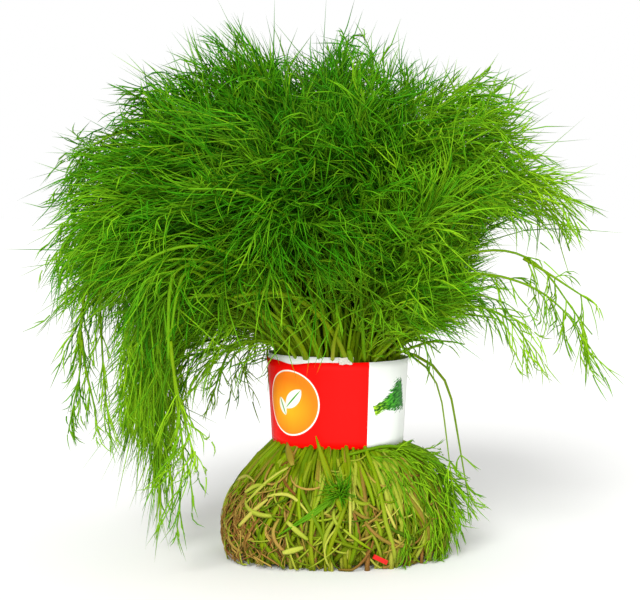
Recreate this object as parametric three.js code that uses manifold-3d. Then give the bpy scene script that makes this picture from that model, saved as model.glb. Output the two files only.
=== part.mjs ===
// A bunch of cut dill that stands on its splayed stem ends, held by a printed paper band.
// Millimetres, +Z up, +X to the right of the front. The origin is on the surface that the bunch
// stands on, in the middle of the foot, where the central stem's cut end rests.
import * as THREE from "three";
import Module from "manifold-3d";

const wasm = await Module();
wasm.setup();

// ---- Driving dimensions ----

// The paper band: an oval sleeve, a little wider at the top.
const BAND = {
  bottom: 55,
  top: 97.5,
  wall: 0.5,
  bottomHalf: [32.7, 28.2], // outer half width and half depth
  topHalf: [35.2, 30.5],
  facets: 40,
};
// The strip's inner end, which shows above the outer layer at the front left.
const TAIL = { rise: 2.6, bottom: 60, fromDeg: 172, toDeg: 282, lap: 0.15, facets: 16 };

// The stems: handfuls of three, in rings round a central handful.
const RINGS = 3;
const STEMS_EACH = 3;
const NEIGHBOUR = 2.6; // from a handful's middle stem to the two pressed against it
const WALL_GAP = 4.9; // from the outermost middle stems to the paper's inside
const RELEASE = 4; // above the paper, where the stems start to lean
const STEM_RADIUS = 1.7; // corner radius of a three-sided stem inside the band
const FOOT_RADIUS = 1.9;
const TIP_RADIUS = 0.75;

// The foot: how far the stems splay below the band, and how soon.
const SPLAY = 1;
const FOOT_FAN = 1.4; // and how much further apart the stems of a handful end
const SPLAY_HEIGHT = 12;
const FOOT_LEVELS = [0, 24, 44];
const UNEVEN_CUT = 5; // the shorter stems end up to this far above the surface

// The crown. The habit of the outermost stems on each side of the bunch: which way they head
// (degrees from +X), how far from upright they lean as they leave the band (degrees), how much
// further they bend and over what length, and their length from the band to the tip. Each
// handful's second stem stands above the others, and has its own bend and length.
const CROWN_SIDES = [
  { heading: 0, lean: 42, bend: 50, bendLength: 120, length: 46, upperBend: 70, upperLength: 108 },
  { heading: 50, lean: 40, bend: 50, bendLength: 130, length: 62, upperBend: 58, upperLength: 118 },
  { heading: 130, lean: 50, bend: 74, bendLength: 110, length: 104, upperBend: 50, upperLength: 132 },
  { heading: 180, lean: 44, bend: 142, bendLength: 80, length: 152, upperBend: 46, upperLength: 136 },
  { heading: 230, lean: 44, bend: 66, bendLength: 130, length: 104, upperBend: 50, upperLength: 132 },
  { heading: 290, lean: 46, bend: 70, bendLength: 120, length: 76, upperBend: 50, upperLength: 106 },
  { heading: 330, lean: 42, bend: 56, bendLength: 120, length: 48, upperBend: 66, upperLength: 104 },
];
const UPPER_TIER = { lean: -14, bendLength: 145 };
const MIDDLE = { bend: 14, bendLength: 185, length: 148 }; // the central handful is almost straight
const MEMBER_HEADING = [0, 0.12, -0.12];
const MEMBER_LEAN = [0, 0, 8]; // near the middle, where the tiers are close
const NATURAL = { heading: 0.1, length: 0.06, lean: 6, bend: 8 }; // random shares of each
const DEPTH_SHARE = 0.86; // the crown's depth against its width
const KNEES = [12]; // where a stalk's middle line has a point below its first whorl

// Two stalks at the right have slipped over the band's edge and hang beside the foot.
const FALLEN_HANDFUL = 36;
const FALLEN_MEMBERS = [0, 2];
const FALLEN_FAN = 0.1;
const FALLEN = { lean: 62, bend: 111, bendLength: 31, length: 92, knees: [7, 14, 21, 30], whorls: [0.8, 0.93] };

// The threads of a leaf: whorls of three, one raised from each side of the stem.
const FIRST_WHORL = 0.34; // shares of the stalk's length
const LAST_WHORL = 0.94;
const WHORL_SPACING = 18;
const WHORL_HEIGHT = 1.4;
const THREAD = { shortest: 24, longest: 33, angle: 0.78, base: 1.5, tip: 0.1 };
const THREAD_NATURAL = { angle: 0.25, turn: 0.5, length: 0.12 };
const SHORTER = 0.04; // each new draw of a thread takes this share off its length

// A short flat end of a red rubber tie, caught among the cut ends at the front right.
const RED_TIE = { length: 8, width: 2.2, thickness: 0.9, place: [19.5, -48.2, 6], turnDeg: [0, 28, 24] };

// The least gaps: between handfuls, and between the leafy stems of one handful.
const CLEARANCE = 0.35;
const LEAFY_GAP = 4;
const ROUTE_TRIES = 60;
const STRAY = 0.02; // each new draw of a route strays further by this share
const THREAD_TRIES = 14;

const GREEN = new THREE.MeshStandardMaterial({ color: 0x4c9411, roughness: 0.6, metalness: 0 });
const RED_RUBBER = new THREE.MeshStandardMaterial({ color: 0xd6331c, roughness: 0.6, metalness: 0 });
const PRINTED_PAPER = new THREE.MeshStandardMaterial({ color: 0xe3130f, roughness: 0.45, metalness: 0 });

// ---- Helpers ----

const SIDES = 3;
const TURN = 2 * Math.PI;
const { degToRad, radToDeg, euclideanModulo, smoothstep, clamp, lerp } = THREE.MathUtils;

// A fixed random number from 0 to 1 for a stem and a use.
function draw(stem, use) {
  const wave = Math.sin(stem * 12.9898 + use * 78.233 + 4.1) * 43758.5453;
  return wave - Math.floor(wave);
}

// The same, from -1 to 1.
function jitter(stem, use) {
  return 2 * draw(stem, use) - 1;
}

function solidOf(positions, faces) {
  const mesh = new wasm.Mesh({
    numProp: 3,
    vertProperties: new Float32Array(positions),
    triVerts: new Uint32Array(faces),
  });
  return new wasm.Manifold(mesh);
}

function meshFrom(solid, name, material) {
  const made = solid.getMesh();
  const geometry = new THREE.BufferGeometry();
  geometry.setAttribute("position", new THREE.BufferAttribute(made.vertProperties, 3));
  geometry.setIndex(new THREE.BufferAttribute(made.triVerts, 1));
  geometry.computeVertexNormals();
  const mesh = new THREE.Mesh(geometry, material);
  mesh.name = name;
  return mesh;
}

// The band's outer half width and half depth at a height.
function bandHalf(z) {
  const level = (z - BAND.bottom) / (BAND.top - BAND.bottom);
  return [0, 1].map((k) => lerp(BAND.bottomHalf[k], BAND.topHalf[k], level));
}

// ---- The routes of the stems ----

// Handfuls of stems: each has a ring and the share of a turn where it stands in that ring.
function handfulPlaces() {
  const places = [{ ring: 0, turn: 0.75 }];
  for (let ring = 1; ring <= RINGS; ring++)
    for (let k = 0; k < 6 * ring; k++)
      places.push({ ring, turn: (k + 0.5 * (ring % 2)) / (6 * ring) });
  return places;
}

// Where a stem crosses a height inside the band. A handful's second and third stems stand
// further out, one on each side of its first.
function placeInBand(place, member, z, fan = 1) {
  const angle = place.turn * TURN;
  const rank = place.ring / RINGS;
  const half = bandHalf(Math.min(z, BAND.top)).map((outer) => outer - WALL_GAP - BAND.wall);
  const out = member === 0 ? 0 : NEIGHBOUR * Math.cos(Math.PI / 3);
  const along = fan * NEIGHBOUR * Math.sin(Math.PI / 3) * [0, 1, -1][member];
  return new THREE.Vector3(
    (rank * half[0] + out) * Math.cos(angle) - along * Math.sin(angle),
    (rank * half[1] + out) * Math.sin(angle) + along * Math.cos(angle),
    z,
  );
}

// Where a stem is at a height of the foot, splayed out from its place at the band's bottom.
function placeInFoot(place, member, z) {
  const free = 1 - Math.exp((z - BAND.bottom) / SPLAY_HEIGHT);
  const spread = 1 + SPLAY * free;
  const held = placeInBand(place, member, BAND.bottom, lerp(1, FOOT_FAN, free));
  return new THREE.Vector3(held.x * spread, held.y * spread, z);
}

// The outermost stems' habit on the side that a heading (radians) points to.
function crownSide(heading) {
  const degrees = euclideanModulo(radToDeg(heading), 360);
  const high = CROWN_SIDES.find((side) => side.heading > degrees) ?? CROWN_SIDES[0];
  const low = CROWN_SIDES.at(CROWN_SIDES.indexOf(high) - 1);
  const span = euclideanModulo(high.heading - low.heading, 360);
  const share = smoothstep((degrees - low.heading) / span, 0, 1);
  return Object.fromEntries(Object.keys(low).map((key) => [key, lerp(low[key], high[key], share)]));
}

// How a stem behaves above the band: its heading, lean, bend and length, and where its whorls are.
function habit(place, member, stem, tried) {
  const use = 900 + 5 * tried;
  const natural = (key, k) => NATURAL[key] * (1 + STRAY * tried) * jitter(stem, use + k);
  const rank = place.ring / RINGS;
  const fan = place.ring === 0 ? (member * TURN) / STEMS_EACH : 0;
  const heading = place.turn * TURN + fan + MEMBER_HEADING[member] + natural("heading", 0);
  if (stem >= FALLEN_HANDFUL * STEMS_EACH && FALLEN_MEMBERS.includes(member))
    return { ...FALLEN, heading: heading - FALLEN_FAN * member };
  const side = crownSide(heading);
  const upper = member === 1 && place.ring > 0;
  const [sideBend, sideLength] = upper ? [side.upperBend, side.upperLength] : [side.bend, side.length];
  const bendLength = upper ? UPPER_TIER.bendLength : side.bendLength;
  const lean = rank * (side.lean + (upper ? UPPER_TIER.lean : 0)) + MEMBER_LEAN[member] * (1 - rank);
  const bend = lerp(MIDDLE.bend, sideBend, rank ** 1.6);
  const length = lerp(MIDDLE.length, sideLength, rank ** 2) * (1 + natural("length", 1));
  const count = Math.round(((LAST_WHORL - FIRST_WHORL) * length) / WHORL_SPACING) + 1;
  return {
    heading,
    lean: Math.max(lean + natural("lean", 2), 1),
    bend: bend + natural("bend", 3),
    bendLength: lerp(MIDDLE.bendLength, bendLength, rank ** 2),
    length,
    knees: KNEES,
    whorls: Array.from({ length: count }, (_, k) => lerp(FIRST_WHORL, LAST_WHORL, k / (count - 1))),
  };
}

// Points of the stalk above the band, at the given distances along it. Its angle from upright
// grows smoothly from the lean by the bend.
function stalkPoints(start, ways, distances) {
  const step = 1;
  const found = [];
  let out = 0;
  let up = 0;
  let gone = 0;
  for (const distance of distances) {
    while (gone < distance) {
      const length = Math.min(step, distance - gone);
      const share = Math.min(1, (gone + length / 2) / ways.bendLength);
      const angle = degToRad(ways.lean + (ways.bend * (1 - Math.cos(Math.PI * share))) / 2);
      out += length * Math.sin(angle);
      up += length * Math.cos(angle);
      gone += length;
    }
    const across = new THREE.Vector3(Math.cos(ways.heading), DEPTH_SHARE * Math.sin(ways.heading), 0);
    found.push(start.clone().addScaledVector(across, out).setZ(start.z + up));
  }
  return found;
}

// One stem from its cut end to its tip: the points of its middle line, its radius at each, and
// which points start a whorl of threads.
function stemRoute(place, member, stem, tried) {
  const cutsFlush = stem === 0 || draw(stem, 1) < 0.5;
  const lift = cutsFlush ? 0 : UNEVEN_CUT * draw(stem, 2);
  const foot = FOOT_LEVELS.map((level) => placeInFoot(place, member, level || lift));
  const held = [BAND.bottom, BAND.top + RELEASE].map((z) => placeInBand(place, member, z));
  const ways = habit(place, member, stem, tried);
  const starts = ways.whorls.map((share) => share * ways.length);
  const distances = [...ways.knees, ...starts.flatMap((start) => [start, start + WHORL_HEIGHT]), ways.length];
  const points = [...foot, ...held, ...stalkPoints(held[1], ways, distances)];
  const release = foot.length + 1;
  const whorlStarts = starts.map((_, k) => release + ways.knees.length + 1 + 2 * k);
  const radii = points.map((_, k) => {
    if (k < foot.length) return FOOT_RADIUS;
    return lerp(STEM_RADIUS, TIP_RADIUS, Math.max(0, k - release) / (points.length - 1 - release));
  });
  return { stem, place, points, radii, whorlStarts };
}

// ---- Clearance ----

// The gap between two tapered rods, each {a, b, radiusA, radiusB}.
function gapBetween(one, two) {
  const d1 = one.b.clone().sub(one.a);
  const d2 = two.b.clone().sub(two.a);
  const r = one.a.clone().sub(two.a);
  const a = d1.dot(d1);
  const e = d2.dot(d2);
  const f = d2.dot(r);
  const c = d1.dot(r);
  const b = d1.dot(d2);
  const denominator = a * e - b * b;
  const nearParallel = denominator < 1e-9;
  const first = nearParallel ? 0 : clamp((b * f - c * e) / denominator, 0, 1);
  const t = clamp((b * first + f) / e, 0, 1);
  const s = clamp((b * t - c) / a, 0, 1);
  const p = one.a.clone().addScaledVector(d1, s);
  const q = two.a.clone().addScaledVector(d2, t);
  return p.distanceTo(q) - lerp(one.radiusA, one.radiusB, s) - lerp(two.radiusA, two.radiusB, t);
}

function isClear(rods, others, gap) {
  return rods.every((rod) => others.every((other) => gapBetween(rod, other) >= gap));
}

// A stem's own rods, one between each two points of its middle line.
function rodsOf(route) {
  return route.points.slice(1).map((b, k) => ({
    a: route.points[k],
    b,
    radiusA: route.radii[k],
    radiusB: route.radii[k + 1],
    stem: route.stem,
    index: k,
  }));
}

// Draws the routes of all stems. One is drawn again if it would touch a stem of another handful,
// run close along its own handful's leafy stems, or reach the surface with its tip.
function drawRoutes() {
  const routes = [];
  const rods = [];
  handfulPlaces().forEach((place, handful) => {
    const others = [...rods];
    const leafy = [];
    for (let member = 0; member < STEMS_EACH; member++) {
      const stem = handful * STEMS_EACH + member;
      const isSettled = (route) =>
        route.points.at(-1).z > TIP_RADIUS &&
        isClear(rodsOf(route), others, CLEARANCE) &&
        isClear(rodsOf(route).slice(route.whorlStarts[0]), leafy, LEAFY_GAP);
      let route = stemRoute(place, member, stem, 0);
      for (let tried = 1; tried < ROUTE_TRIES && !isSettled(route); tried++)
        route = stemRoute(place, member, stem, tried);
      leafy.push(...rodsOf(route).slice(route.whorlStarts[0]));
      rods.push(...rodsOf(route));
      routes.push(route);
    }
  });
  return routes;
}

// Adds a section at every point of a route: the way along the stem and its three corners there.
// The section turns by half a side at each whorl, so that the whorls alternate. In the band each
// stem points a corner at its handful's other two.
function addSections(route) {
  const { points, radii } = route;
  const member = route.stem % STEMS_EACH;
  const angle = (route.place.turn + [1 / 6, 2 / 3, 1 / 3][member]) * TURN;
  let side = new THREE.Vector3(Math.cos(angle), Math.sin(angle), 0);
  route.sections = points.map((point, k) => {
    const before = points[Math.max(k - 1, 0)];
    const after = points[Math.min(k + 1, points.length - 1)];
    const along = k === 0 ? new THREE.Vector3(0, 0, 1) : after.clone().sub(before).normalize();
    side = side.clone().addScaledVector(along, -side.dot(along)).normalize();
    if (route.whorlStarts.includes(k)) side.applyAxisAngle(along, Math.PI / SIDES);
    const across = new THREE.Vector3().crossVectors(along, side);
    const corners = Array.from({ length: SIDES }, (_, i) => {
      const turn = (i * TURN) / SIDES;
      return point
        .clone()
        .addScaledVector(side, radii[k] * Math.cos(turn))
        .addScaledVector(across, radii[k] * Math.sin(turn));
    });
    return { along, corners };
  });
}

// ---- The threads ----

// The tip of one thread: outward from its root on one side of a whorl, and forward.
function threadTip(stem, use, along, outward, root, reach) {
  const open = THREAD.angle + THREAD_NATURAL.angle * jitter(stem, use);
  const way = along.clone().multiplyScalar(Math.cos(open)).addScaledVector(outward, Math.sin(open));
  way.applyAxisAngle(along, THREAD_NATURAL.turn * jitter(stem, use + 300));
  return root.clone().addScaledVector(way, reach * (1 + THREAD_NATURAL.length * jitter(stem, use + 600)));
}

// Draws the threads of every whorl. One that would touch a stem or another thread is drawn again,
// a little shorter. Near its root it may be close to its own stem and whorl.
function drawThreads(routes) {
  const rods = routes.flatMap(rodsOf);
  for (const route of routes) {
    const { stem } = route;
    route.threads = new Map();
    route.whorlStarts.forEach((at, whorl) => {
      const low = route.sections[at];
      const high = route.sections[at + 1];
      const middle = route.points[at].clone().lerp(route.points[at + 1], 0.5);
      const share = (whorl + 1) / (route.whorlStarts.length + 1);
      const reach = lerp(THREAD.shortest, THREAD.longest, Math.sin(Math.PI * share));
      const isNear = (other) =>
        other.stem === stem && (other.isThread ? other.index === at : Math.abs(other.index - at) <= 1);
      for (let i = 0; i < SIDES; i++) {
        const root = low.corners[i].clone().lerp(high.corners[(i + 1) % SIDES], 0.5);
        const outward = root.clone().sub(middle).normalize();
        for (let tried = 0; tried < THREAD_TRIES; tried++) {
          const use = 10 + whorl * 70 + i * 20 + tried;
          const tip = threadTip(stem, use, low.along, outward, root, reach * (1 - SHORTER * tried));
          const size = { radiusA: THREAD.base, radiusB: THREAD.tip };
          const rod = { a: root, b: tip, ...size, stem, index: at, isThread: true };
          const outer = { ...rod, a: root.clone().lerp(tip, 0.25) };
          if (tip.z < CLEARANCE) continue;
          if (rods.some((other) => gapBetween(isNear(other) ? outer : rod, other) < CLEARANCE)) continue;
          rods.push(rod);
          route.threads.set(at * SIDES + i, tip);
          break;
        }
      }
    });
  }
}

// ---- Solids ----

// A stem as one closed skin: three sides from cut end to tip, each side of a whorl drawn out
// into a thread.
function stemSolid({ sections, threads, points }) {
  const positions = [];
  const faces = [];
  const addPoint = (p) => positions.push(p.x, p.y, p.z) / 3 - 1;
  for (const { corners } of sections.slice(0, -1)) corners.forEach(addPoint);
  const tip = addPoint(points.at(-1));
  faces.push(0, 2, 1);
  for (let k = 0; k < sections.length - 1; k++)
    for (let i = 0; i < SIDES; i++) {
      const next = (i + 1) % SIDES;
      const low = [k * SIDES + i, k * SIDES + next];
      const high = low.map((corner) => corner + SIDES);
      const threadEnd = threads.get(k * SIDES + i);
      if (k === sections.length - 2) {
        faces.push(...low, tip);
      } else if (threadEnd) {
        const apex = addPoint(threadEnd);
        faces.push(low[0], low[1], apex, low[1], high[1], apex);
        faces.push(high[1], high[0], apex, high[0], low[0], apex);
      } else {
        faces.push(...low, high[0], low[1], high[1], high[0]);
      }
    }
  return solidOf(positions, faces);
}

// An upright wall that follows the band's oval, all the way round or between two angles.
function wallSolid({ inset, bottom, top, from, to, facets }) {
  const isRing = to - from >= TURN;
  const columns = isRing ? facets : facets + 1;
  const positions = [];
  const faces = [];
  const profile = [
    [inset, bottom],
    [inset, top],
    [inset + BAND.wall, top],
    [inset + BAND.wall, bottom],
  ];
  for (let k = 0; k < columns; k++) {
    const angle = lerp(from, to, k / facets);
    for (const [depth, z] of profile) {
      const half = bandHalf(z);
      positions.push((half[0] - depth) * Math.cos(angle), (half[1] - depth) * Math.sin(angle), z);
    }
  }
  const addQuad = (a, b, c, d) => faces.push(a, b, c, a, c, d);
  for (let k = 0; k < facets; k++) {
    const here = 4 * k;
    const there = 4 * ((k + 1) % columns);
    for (let i = 0; i < 4; i++) {
      const next = (i + 1) % 4;
      addQuad(here + i, there + i, there + next, here + next);
    }
  }
  if (!isRing) {
    const last = 4 * facets;
    addQuad(0, 1, 2, 3);
    addQuad(last + 3, last + 2, last + 1, last);
  }
  return solidOf(positions, faces);
}

// The paper band: one strip, whose inner end stands a little above the layer over it.
function labelBand() {
  const ring = { inset: 0, bottom: BAND.bottom, top: BAND.top, from: 0, to: TURN, facets: BAND.facets };
  const tail = {
    inset: BAND.wall - TAIL.lap,
    bottom: TAIL.bottom,
    top: BAND.top + TAIL.rise,
    from: degToRad(TAIL.fromDeg),
    to: degToRad(TAIL.toDeg),
    facets: TAIL.facets,
  };
  return meshFrom(wallSolid(ring).add(wallSolid(tail)), "label_band", PRINTED_PAPER);
}

function redTieEnd() {
  const { length, width, thickness, place, turnDeg } = RED_TIE;
  const strip = wasm.Manifold.cube([length, thickness, width], true).rotate(turnDeg).translate(place);
  return meshFrom(strip, "red_tie_end", RED_RUBBER);
}

// ---- Assembly ----

const routes = drawRoutes();
routes.forEach(addSections);
drawThreads(routes);

const bunch = new THREE.Group();
bunch.add(labelBand(), redTieEnd());
for (let handful = 0; handful * STEMS_EACH < routes.length; handful++) {
  const stems = routes.slice(handful * STEMS_EACH, (handful + 1) * STEMS_EACH);
  const solid = stems.map(stemSolid).reduce((whole, stem) => whole.add(stem));
  const number = String(handful + 1).padStart(2, "0");
  bunch.add(meshFrom(solid, `leafy_stems_${number}`, GREEN));
}

export default bunch;
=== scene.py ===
"""A bunch of cut dill that stands on its splayed stem ends, in a printed paper band.

The frame is in metres, +Z up, +X to the right of the front. Sizes below are in millimetres.
"""

import math

import bpy
import numpy as np
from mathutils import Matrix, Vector


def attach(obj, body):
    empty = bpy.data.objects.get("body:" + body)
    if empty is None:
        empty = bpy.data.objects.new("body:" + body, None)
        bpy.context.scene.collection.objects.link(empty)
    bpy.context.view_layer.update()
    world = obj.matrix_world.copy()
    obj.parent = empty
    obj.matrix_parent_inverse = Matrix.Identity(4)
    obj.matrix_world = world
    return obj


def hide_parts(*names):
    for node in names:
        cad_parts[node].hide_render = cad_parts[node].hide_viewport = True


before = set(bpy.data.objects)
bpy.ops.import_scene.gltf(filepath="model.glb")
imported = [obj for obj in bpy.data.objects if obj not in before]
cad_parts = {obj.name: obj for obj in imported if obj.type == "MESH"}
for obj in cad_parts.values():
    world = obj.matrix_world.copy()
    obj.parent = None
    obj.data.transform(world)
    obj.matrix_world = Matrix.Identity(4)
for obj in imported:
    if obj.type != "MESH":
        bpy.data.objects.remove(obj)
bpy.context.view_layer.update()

MM = 0.001
TURN = 2 * math.pi

# ---- Camera, floor and light ----
# A camera a little above the band's height, in front of the bunch. The floor is pale and plain,
# and the light is a soft key from the upper left, a weaker fill and a bright surround.

IMAGE_WIDTH = 640
FOCAL_PIXELS = 1440
CAMERA_PLACE = (-9, -720, 170)
CAMERA_PITCH = math.radians(3.5)
FLOOR_HALF = 30000
SURROUND_LIGHT = 0.76
KEY_STRENGTH = 2.7
KEY_SPREAD = math.radians(24)
KEY_FROM = (-0.3, -1.0, 0.7)
FILL_POWER = 7
FILL_SIZE = 900
FILL_PLACE = (200, -900, 60)
FILL_AIM = (0, 0, 130)


def srgb(text):
    """A hex colour such as #4c9411 as linear RGBA."""
    shares = [int(text[k : k + 2], 16) / 255 for k in (1, 3, 5)]
    return (*(s / 12.92 if s <= 0.04045 else ((s + 0.055) / 1.055) ** 2.4 for s in shares), 1.0)


def node(tree, kind, links=None, out=None, stops=(), **settings):
    """Adds a shader node with its settings, a ramp's stops, and values or links for its inputs. A
    node given as a link means its first output. Returns the node, or the output asked for."""
    made = tree.nodes.new("ShaderNode" + kind)
    for k, (place, colour) in enumerate(stops):
        stop = made.color_ramp.elements[k] if k < 2 else made.color_ramp.elements.new(place)
        stop.position, stop.color = place, srgb(colour)
    for key, value in settings.items():
        setattr(made, key, value)
    for key, value in (links or {}).items():
        value = value.outputs[0] if isinstance(value, bpy.types.Node) else value
        if isinstance(value, bpy.types.NodeSocket):
            tree.links.new(value, made.inputs[key])
        else:
            made.inputs[key].default_value = value
    return made if out is None else made.outputs[out]


def new_material(name):
    """An empty material and its node tree."""
    material = bpy.data.materials.new(name)
    material.use_nodes = True
    material.node_tree.nodes.clear()
    return material, material.node_tree


def add_object(name, data):
    """An object in the scene that shows the given mesh, light or camera."""
    made = bpy.data.objects.new(name, data)
    bpy.context.collection.objects.link(made)
    return made


camera_data = bpy.data.cameras.new("camera")
camera_data.sensor_width = 36
camera_data.lens = camera_data.sensor_width * FOCAL_PIXELS / IMAGE_WIDTH
camera = add_object("camera", camera_data)
camera.location = Vector(CAMERA_PLACE) * MM
camera.rotation_euler = (math.pi / 2 - CAMERA_PITCH, 0, 0)
bpy.context.scene.camera = camera

key_light = bpy.data.lights.new("key", "SUN")
key_light.energy, key_light.angle = KEY_STRENGTH, KEY_SPREAD
add_object("key", key_light).rotation_euler = (-Vector(KEY_FROM)).to_track_quat("-Z", "Y").to_euler()
fill_light = bpy.data.lights.new("fill", "AREA")
fill_light.energy, fill_light.size = FILL_POWER, FILL_SIZE * MM
fill = add_object("fill", fill_light)
fill.location = Vector(FILL_PLACE) * MM
fill.rotation_euler = (Vector(FILL_AIM) * MM - fill.location).to_track_quat("-Z", "Y").to_euler()

world = bpy.data.worlds.new("studio")
world.use_nodes = True
tree = world.node_tree
tree.nodes.clear()
seen = node(tree, "LightPath", out="Is Camera Ray")
strength = node(tree, "MapRange", {"Value": seen, "To Min": SURROUND_LIGHT, "To Max": 1.0})
surround = node(tree, "Background", {"Color": (1, 1, 1, 1), "Strength": strength})
node(tree, "OutputWorld", {"Surface": surround})
bpy.context.scene.world = world
bpy.context.scene.view_settings.view_transform = "Standard"

# Pale matt studio floor.
floor_material, tree = new_material("pale_floor")
shader = node(tree, "BsdfPrincipled", {"Base Color": srgb("#f4f4f2"), "Roughness": 0.9})
node(tree, "OutputMaterial", {"Surface": shader})
floor_mesh = bpy.data.meshes.new("floor")
corners = [(x * FLOOR_HALF * MM, y * FLOOR_HALF * MM, 0) for x, y in ((-1, -1), (1, -1), (1, 1), (-1, 1))]
floor_mesh.from_pydata(corners, [], [(0, 1, 2, 3)])
floor_mesh.materials.append(floor_material)
add_object("floor", floor_mesh)

# ---- Paper band ----
# One strip of thin coated paper wrapped tightly round the stems. It starts at the front, passes
# round the left and the back, and laps over its start at the front left, where the start stands
# a little above it. Clear tape holds the start to the stems, and the end to the strip.

BAND_BOTTOM = 55
BAND_TOP = 97.5
BAND_BOTTOM_HALF = np.array([32.7, 28.2])
BAND_TOP_HALF = np.array([35.2, 30.5])
BAND_MIDDLE_HALF = (34, 29.5)
PAPER = 0.16
START_ANGLE = math.radians(282)
LAP_ANGLE = math.radians(110)
START_RISE = 2.6
START_INSET = 0.42
END_LIFT = 0.9  # the free end stands off this far, over END_TURN
END_TURN = 0.12
EDGE_DIP = (1.4, math.radians(231), 0.22)  # the top edge's dip at the front left: depth, place, width
STEM_DENTS = ((0.16, 5, 0.6), (0.1, 11, 2), (0.06, 23, 0))  # depths, counts and turns
BAND_COLUMNS = 240
BAND_ROWS = 12
PANEL_FROM = 14.6  # where the red ends and the white panel starts, along the strip from the front
PANEL_TO = 78
START_FROM = 140  # the strip's start has no red
PATCH_CENTRE = (-25.5, 77)
PATCH_RADIUS = 15.5
RIM_WIDTH = 0.7
LEAVES = (((-23.5, 79), 45, 8.0), ((-30.5, 75), 115, 5.6))  # middles, turns and lengths
TUFT_PRINT = (18, 73.5)
TUFT_TURN = math.radians(20)
TUFT_LENGTH = 24


def mix(a, b, share):
    return a + (b - a) * share


def band_half(z):
    """The band's outer half width and half depth at heights z."""
    level = (np.asarray(z, float) - BAND_BOTTOM) / (BAND_TOP - BAND_BOTTOM)
    return BAND_BOTTOM_HALF + np.multiply.outer(level, BAND_TOP_HALF - BAND_BOTTOM_HALF)


def joined(*values):
    """Values brought to one shape and stacked along a last axis, such as x, y and z."""
    return np.stack(np.broadcast_arrays(*values), -1)


def distances_along(points):
    """How far along a line each of its points is."""
    return np.concatenate([[0], np.cumsum(np.linalg.norm(np.diff(points, axis=0), axis=1))])


def fade(value, zero, one):
    """0 where a value is at zero or short of it, 1 at one or past it, and even between them."""
    return np.clip((np.asarray(value, float) - zero) / (one - zero), 0, 1)


def smooth_step(value, low, high):
    """0 below low, 1 above high, and smooth between them."""
    share = fade(value, low, high)
    return share * share * (3 - 2 * share)


def mesh_piece(name, verts, faces, materials, face_slots=None, **attributes):
    """A piece from vertices in millimetres and triangles or quads. Attributes are per vertex."""
    mesh = bpy.data.meshes.new(name)
    verts = np.asarray(verts, np.float32) * MM
    faces = np.asarray(faces, np.int32)
    mesh.vertices.add(len(verts))
    mesh.vertices.foreach_set("co", verts.ravel())
    mesh.loops.add(faces.size)
    mesh.loops.foreach_set("vertex_index", faces.ravel())
    mesh.polygons.add(len(faces))
    mesh.polygons.foreach_set("loop_start", np.arange(0, faces.size, faces.shape[1], dtype=np.int32))
    mesh.polygons.foreach_set("use_smooth", np.full(len(faces), True))
    for material in materials:
        mesh.materials.append(material)
    if face_slots is not None:
        mesh.polygons.foreach_set("material_index", np.asarray(face_slots, np.int32))
    for key, values in attributes.items():
        layer = mesh.attributes.new(key, "FLOAT_VECTOR", "POINT")
        layer.data.foreach_set("vector", np.asarray(values, np.float32).ravel())
    mesh.update(calc_edges=True)
    return add_object(name, mesh)


def thin_sheet(front, back):
    """Vertices and quads of a closed sheet between two grids of points, in columns and rows."""
    index = np.arange(front[..., 0].size).reshape(front.shape[:2])
    corners = [index[:-1, :-1], index[:-1, 1:], index[1:, 1:], index[1:, :-1]]
    edge = np.concatenate([index[:-1, 0], index[-1, :-1], index[:0:-1, -1], index[0, :0:-1]])
    ahead = np.roll(edge, -1)
    outside = joined(*corners).reshape(-1, 4)
    rim = joined(edge, ahead, ahead + index.size, edge + index.size)
    faces = np.concatenate([outside, outside[:, ::-1] + index.size, rim])
    return np.concatenate([front.reshape(-1, 3), back.reshape(-1, 3)]), faces


def ellipse_mask(tree, place, centre, radii, angle=0.0, edge=0.12):
    """1 inside an ellipse drawn on the strip, 0 outside, with an edge of the given millimetres."""
    shape = {"Vector": place, "Location": (*centre, 0), "Rotation": (0, 0, angle), "Scale": (*radii, 1e4)}
    turned = node(tree, "Mapping", shape, vector_type="TEXTURE")
    length = node(tree, "VectorMath", {0: turned}, "Value", operation="LENGTH")
    soft = edge / min(radii)
    return node(tree, "MapRange", {"Value": length, "From Min": 1 + soft, "From Max": 1 - soft})


# Thin coated paper, printed in flat glossy inks on its outer side and bare on its inner side:
# red, a white panel with a plain green sprig, and a round orange patch with a white rim.
printed_paper, tree = new_material("printed_coated_paper")
place = node(tree, "Attribute", out="Vector", attribute_name="place")
along, _, outer_side = node(tree, "SeparateXYZ", {0: place}).outputs
from_panel = node(tree, "Math", {0: along, 1: PANEL_FROM}, operation="GREATER_THAN")
to_panel = node(tree, "Math", {0: along, 1: PANEL_TO}, operation="LESS_THAN")
in_panel = node(tree, "Math", {0: from_panel, 1: to_panel}, operation="MULTIPLY")
in_start = node(tree, "Math", {0: along, 1: START_FROM}, operation="GREATER_THAN")
rim = ellipse_mask(tree, place, PATCH_CENTRE, (PATCH_RADIUS + RIM_WIDTH,) * 2)
patch = ellipse_mask(tree, place, PATCH_CENTRE, (PATCH_RADIUS,) * 2)
glow = ellipse_mask(tree, place, (PATCH_CENTRE[0] - 3, PATCH_CENTRE[1] - 2), (8, 7), edge=7)
orange = node(tree, "Mix", {0: glow, 6: srgb("#ff7f17"), 7: srgb("#ffb521")}, 2, data_type="RGBA")

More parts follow.
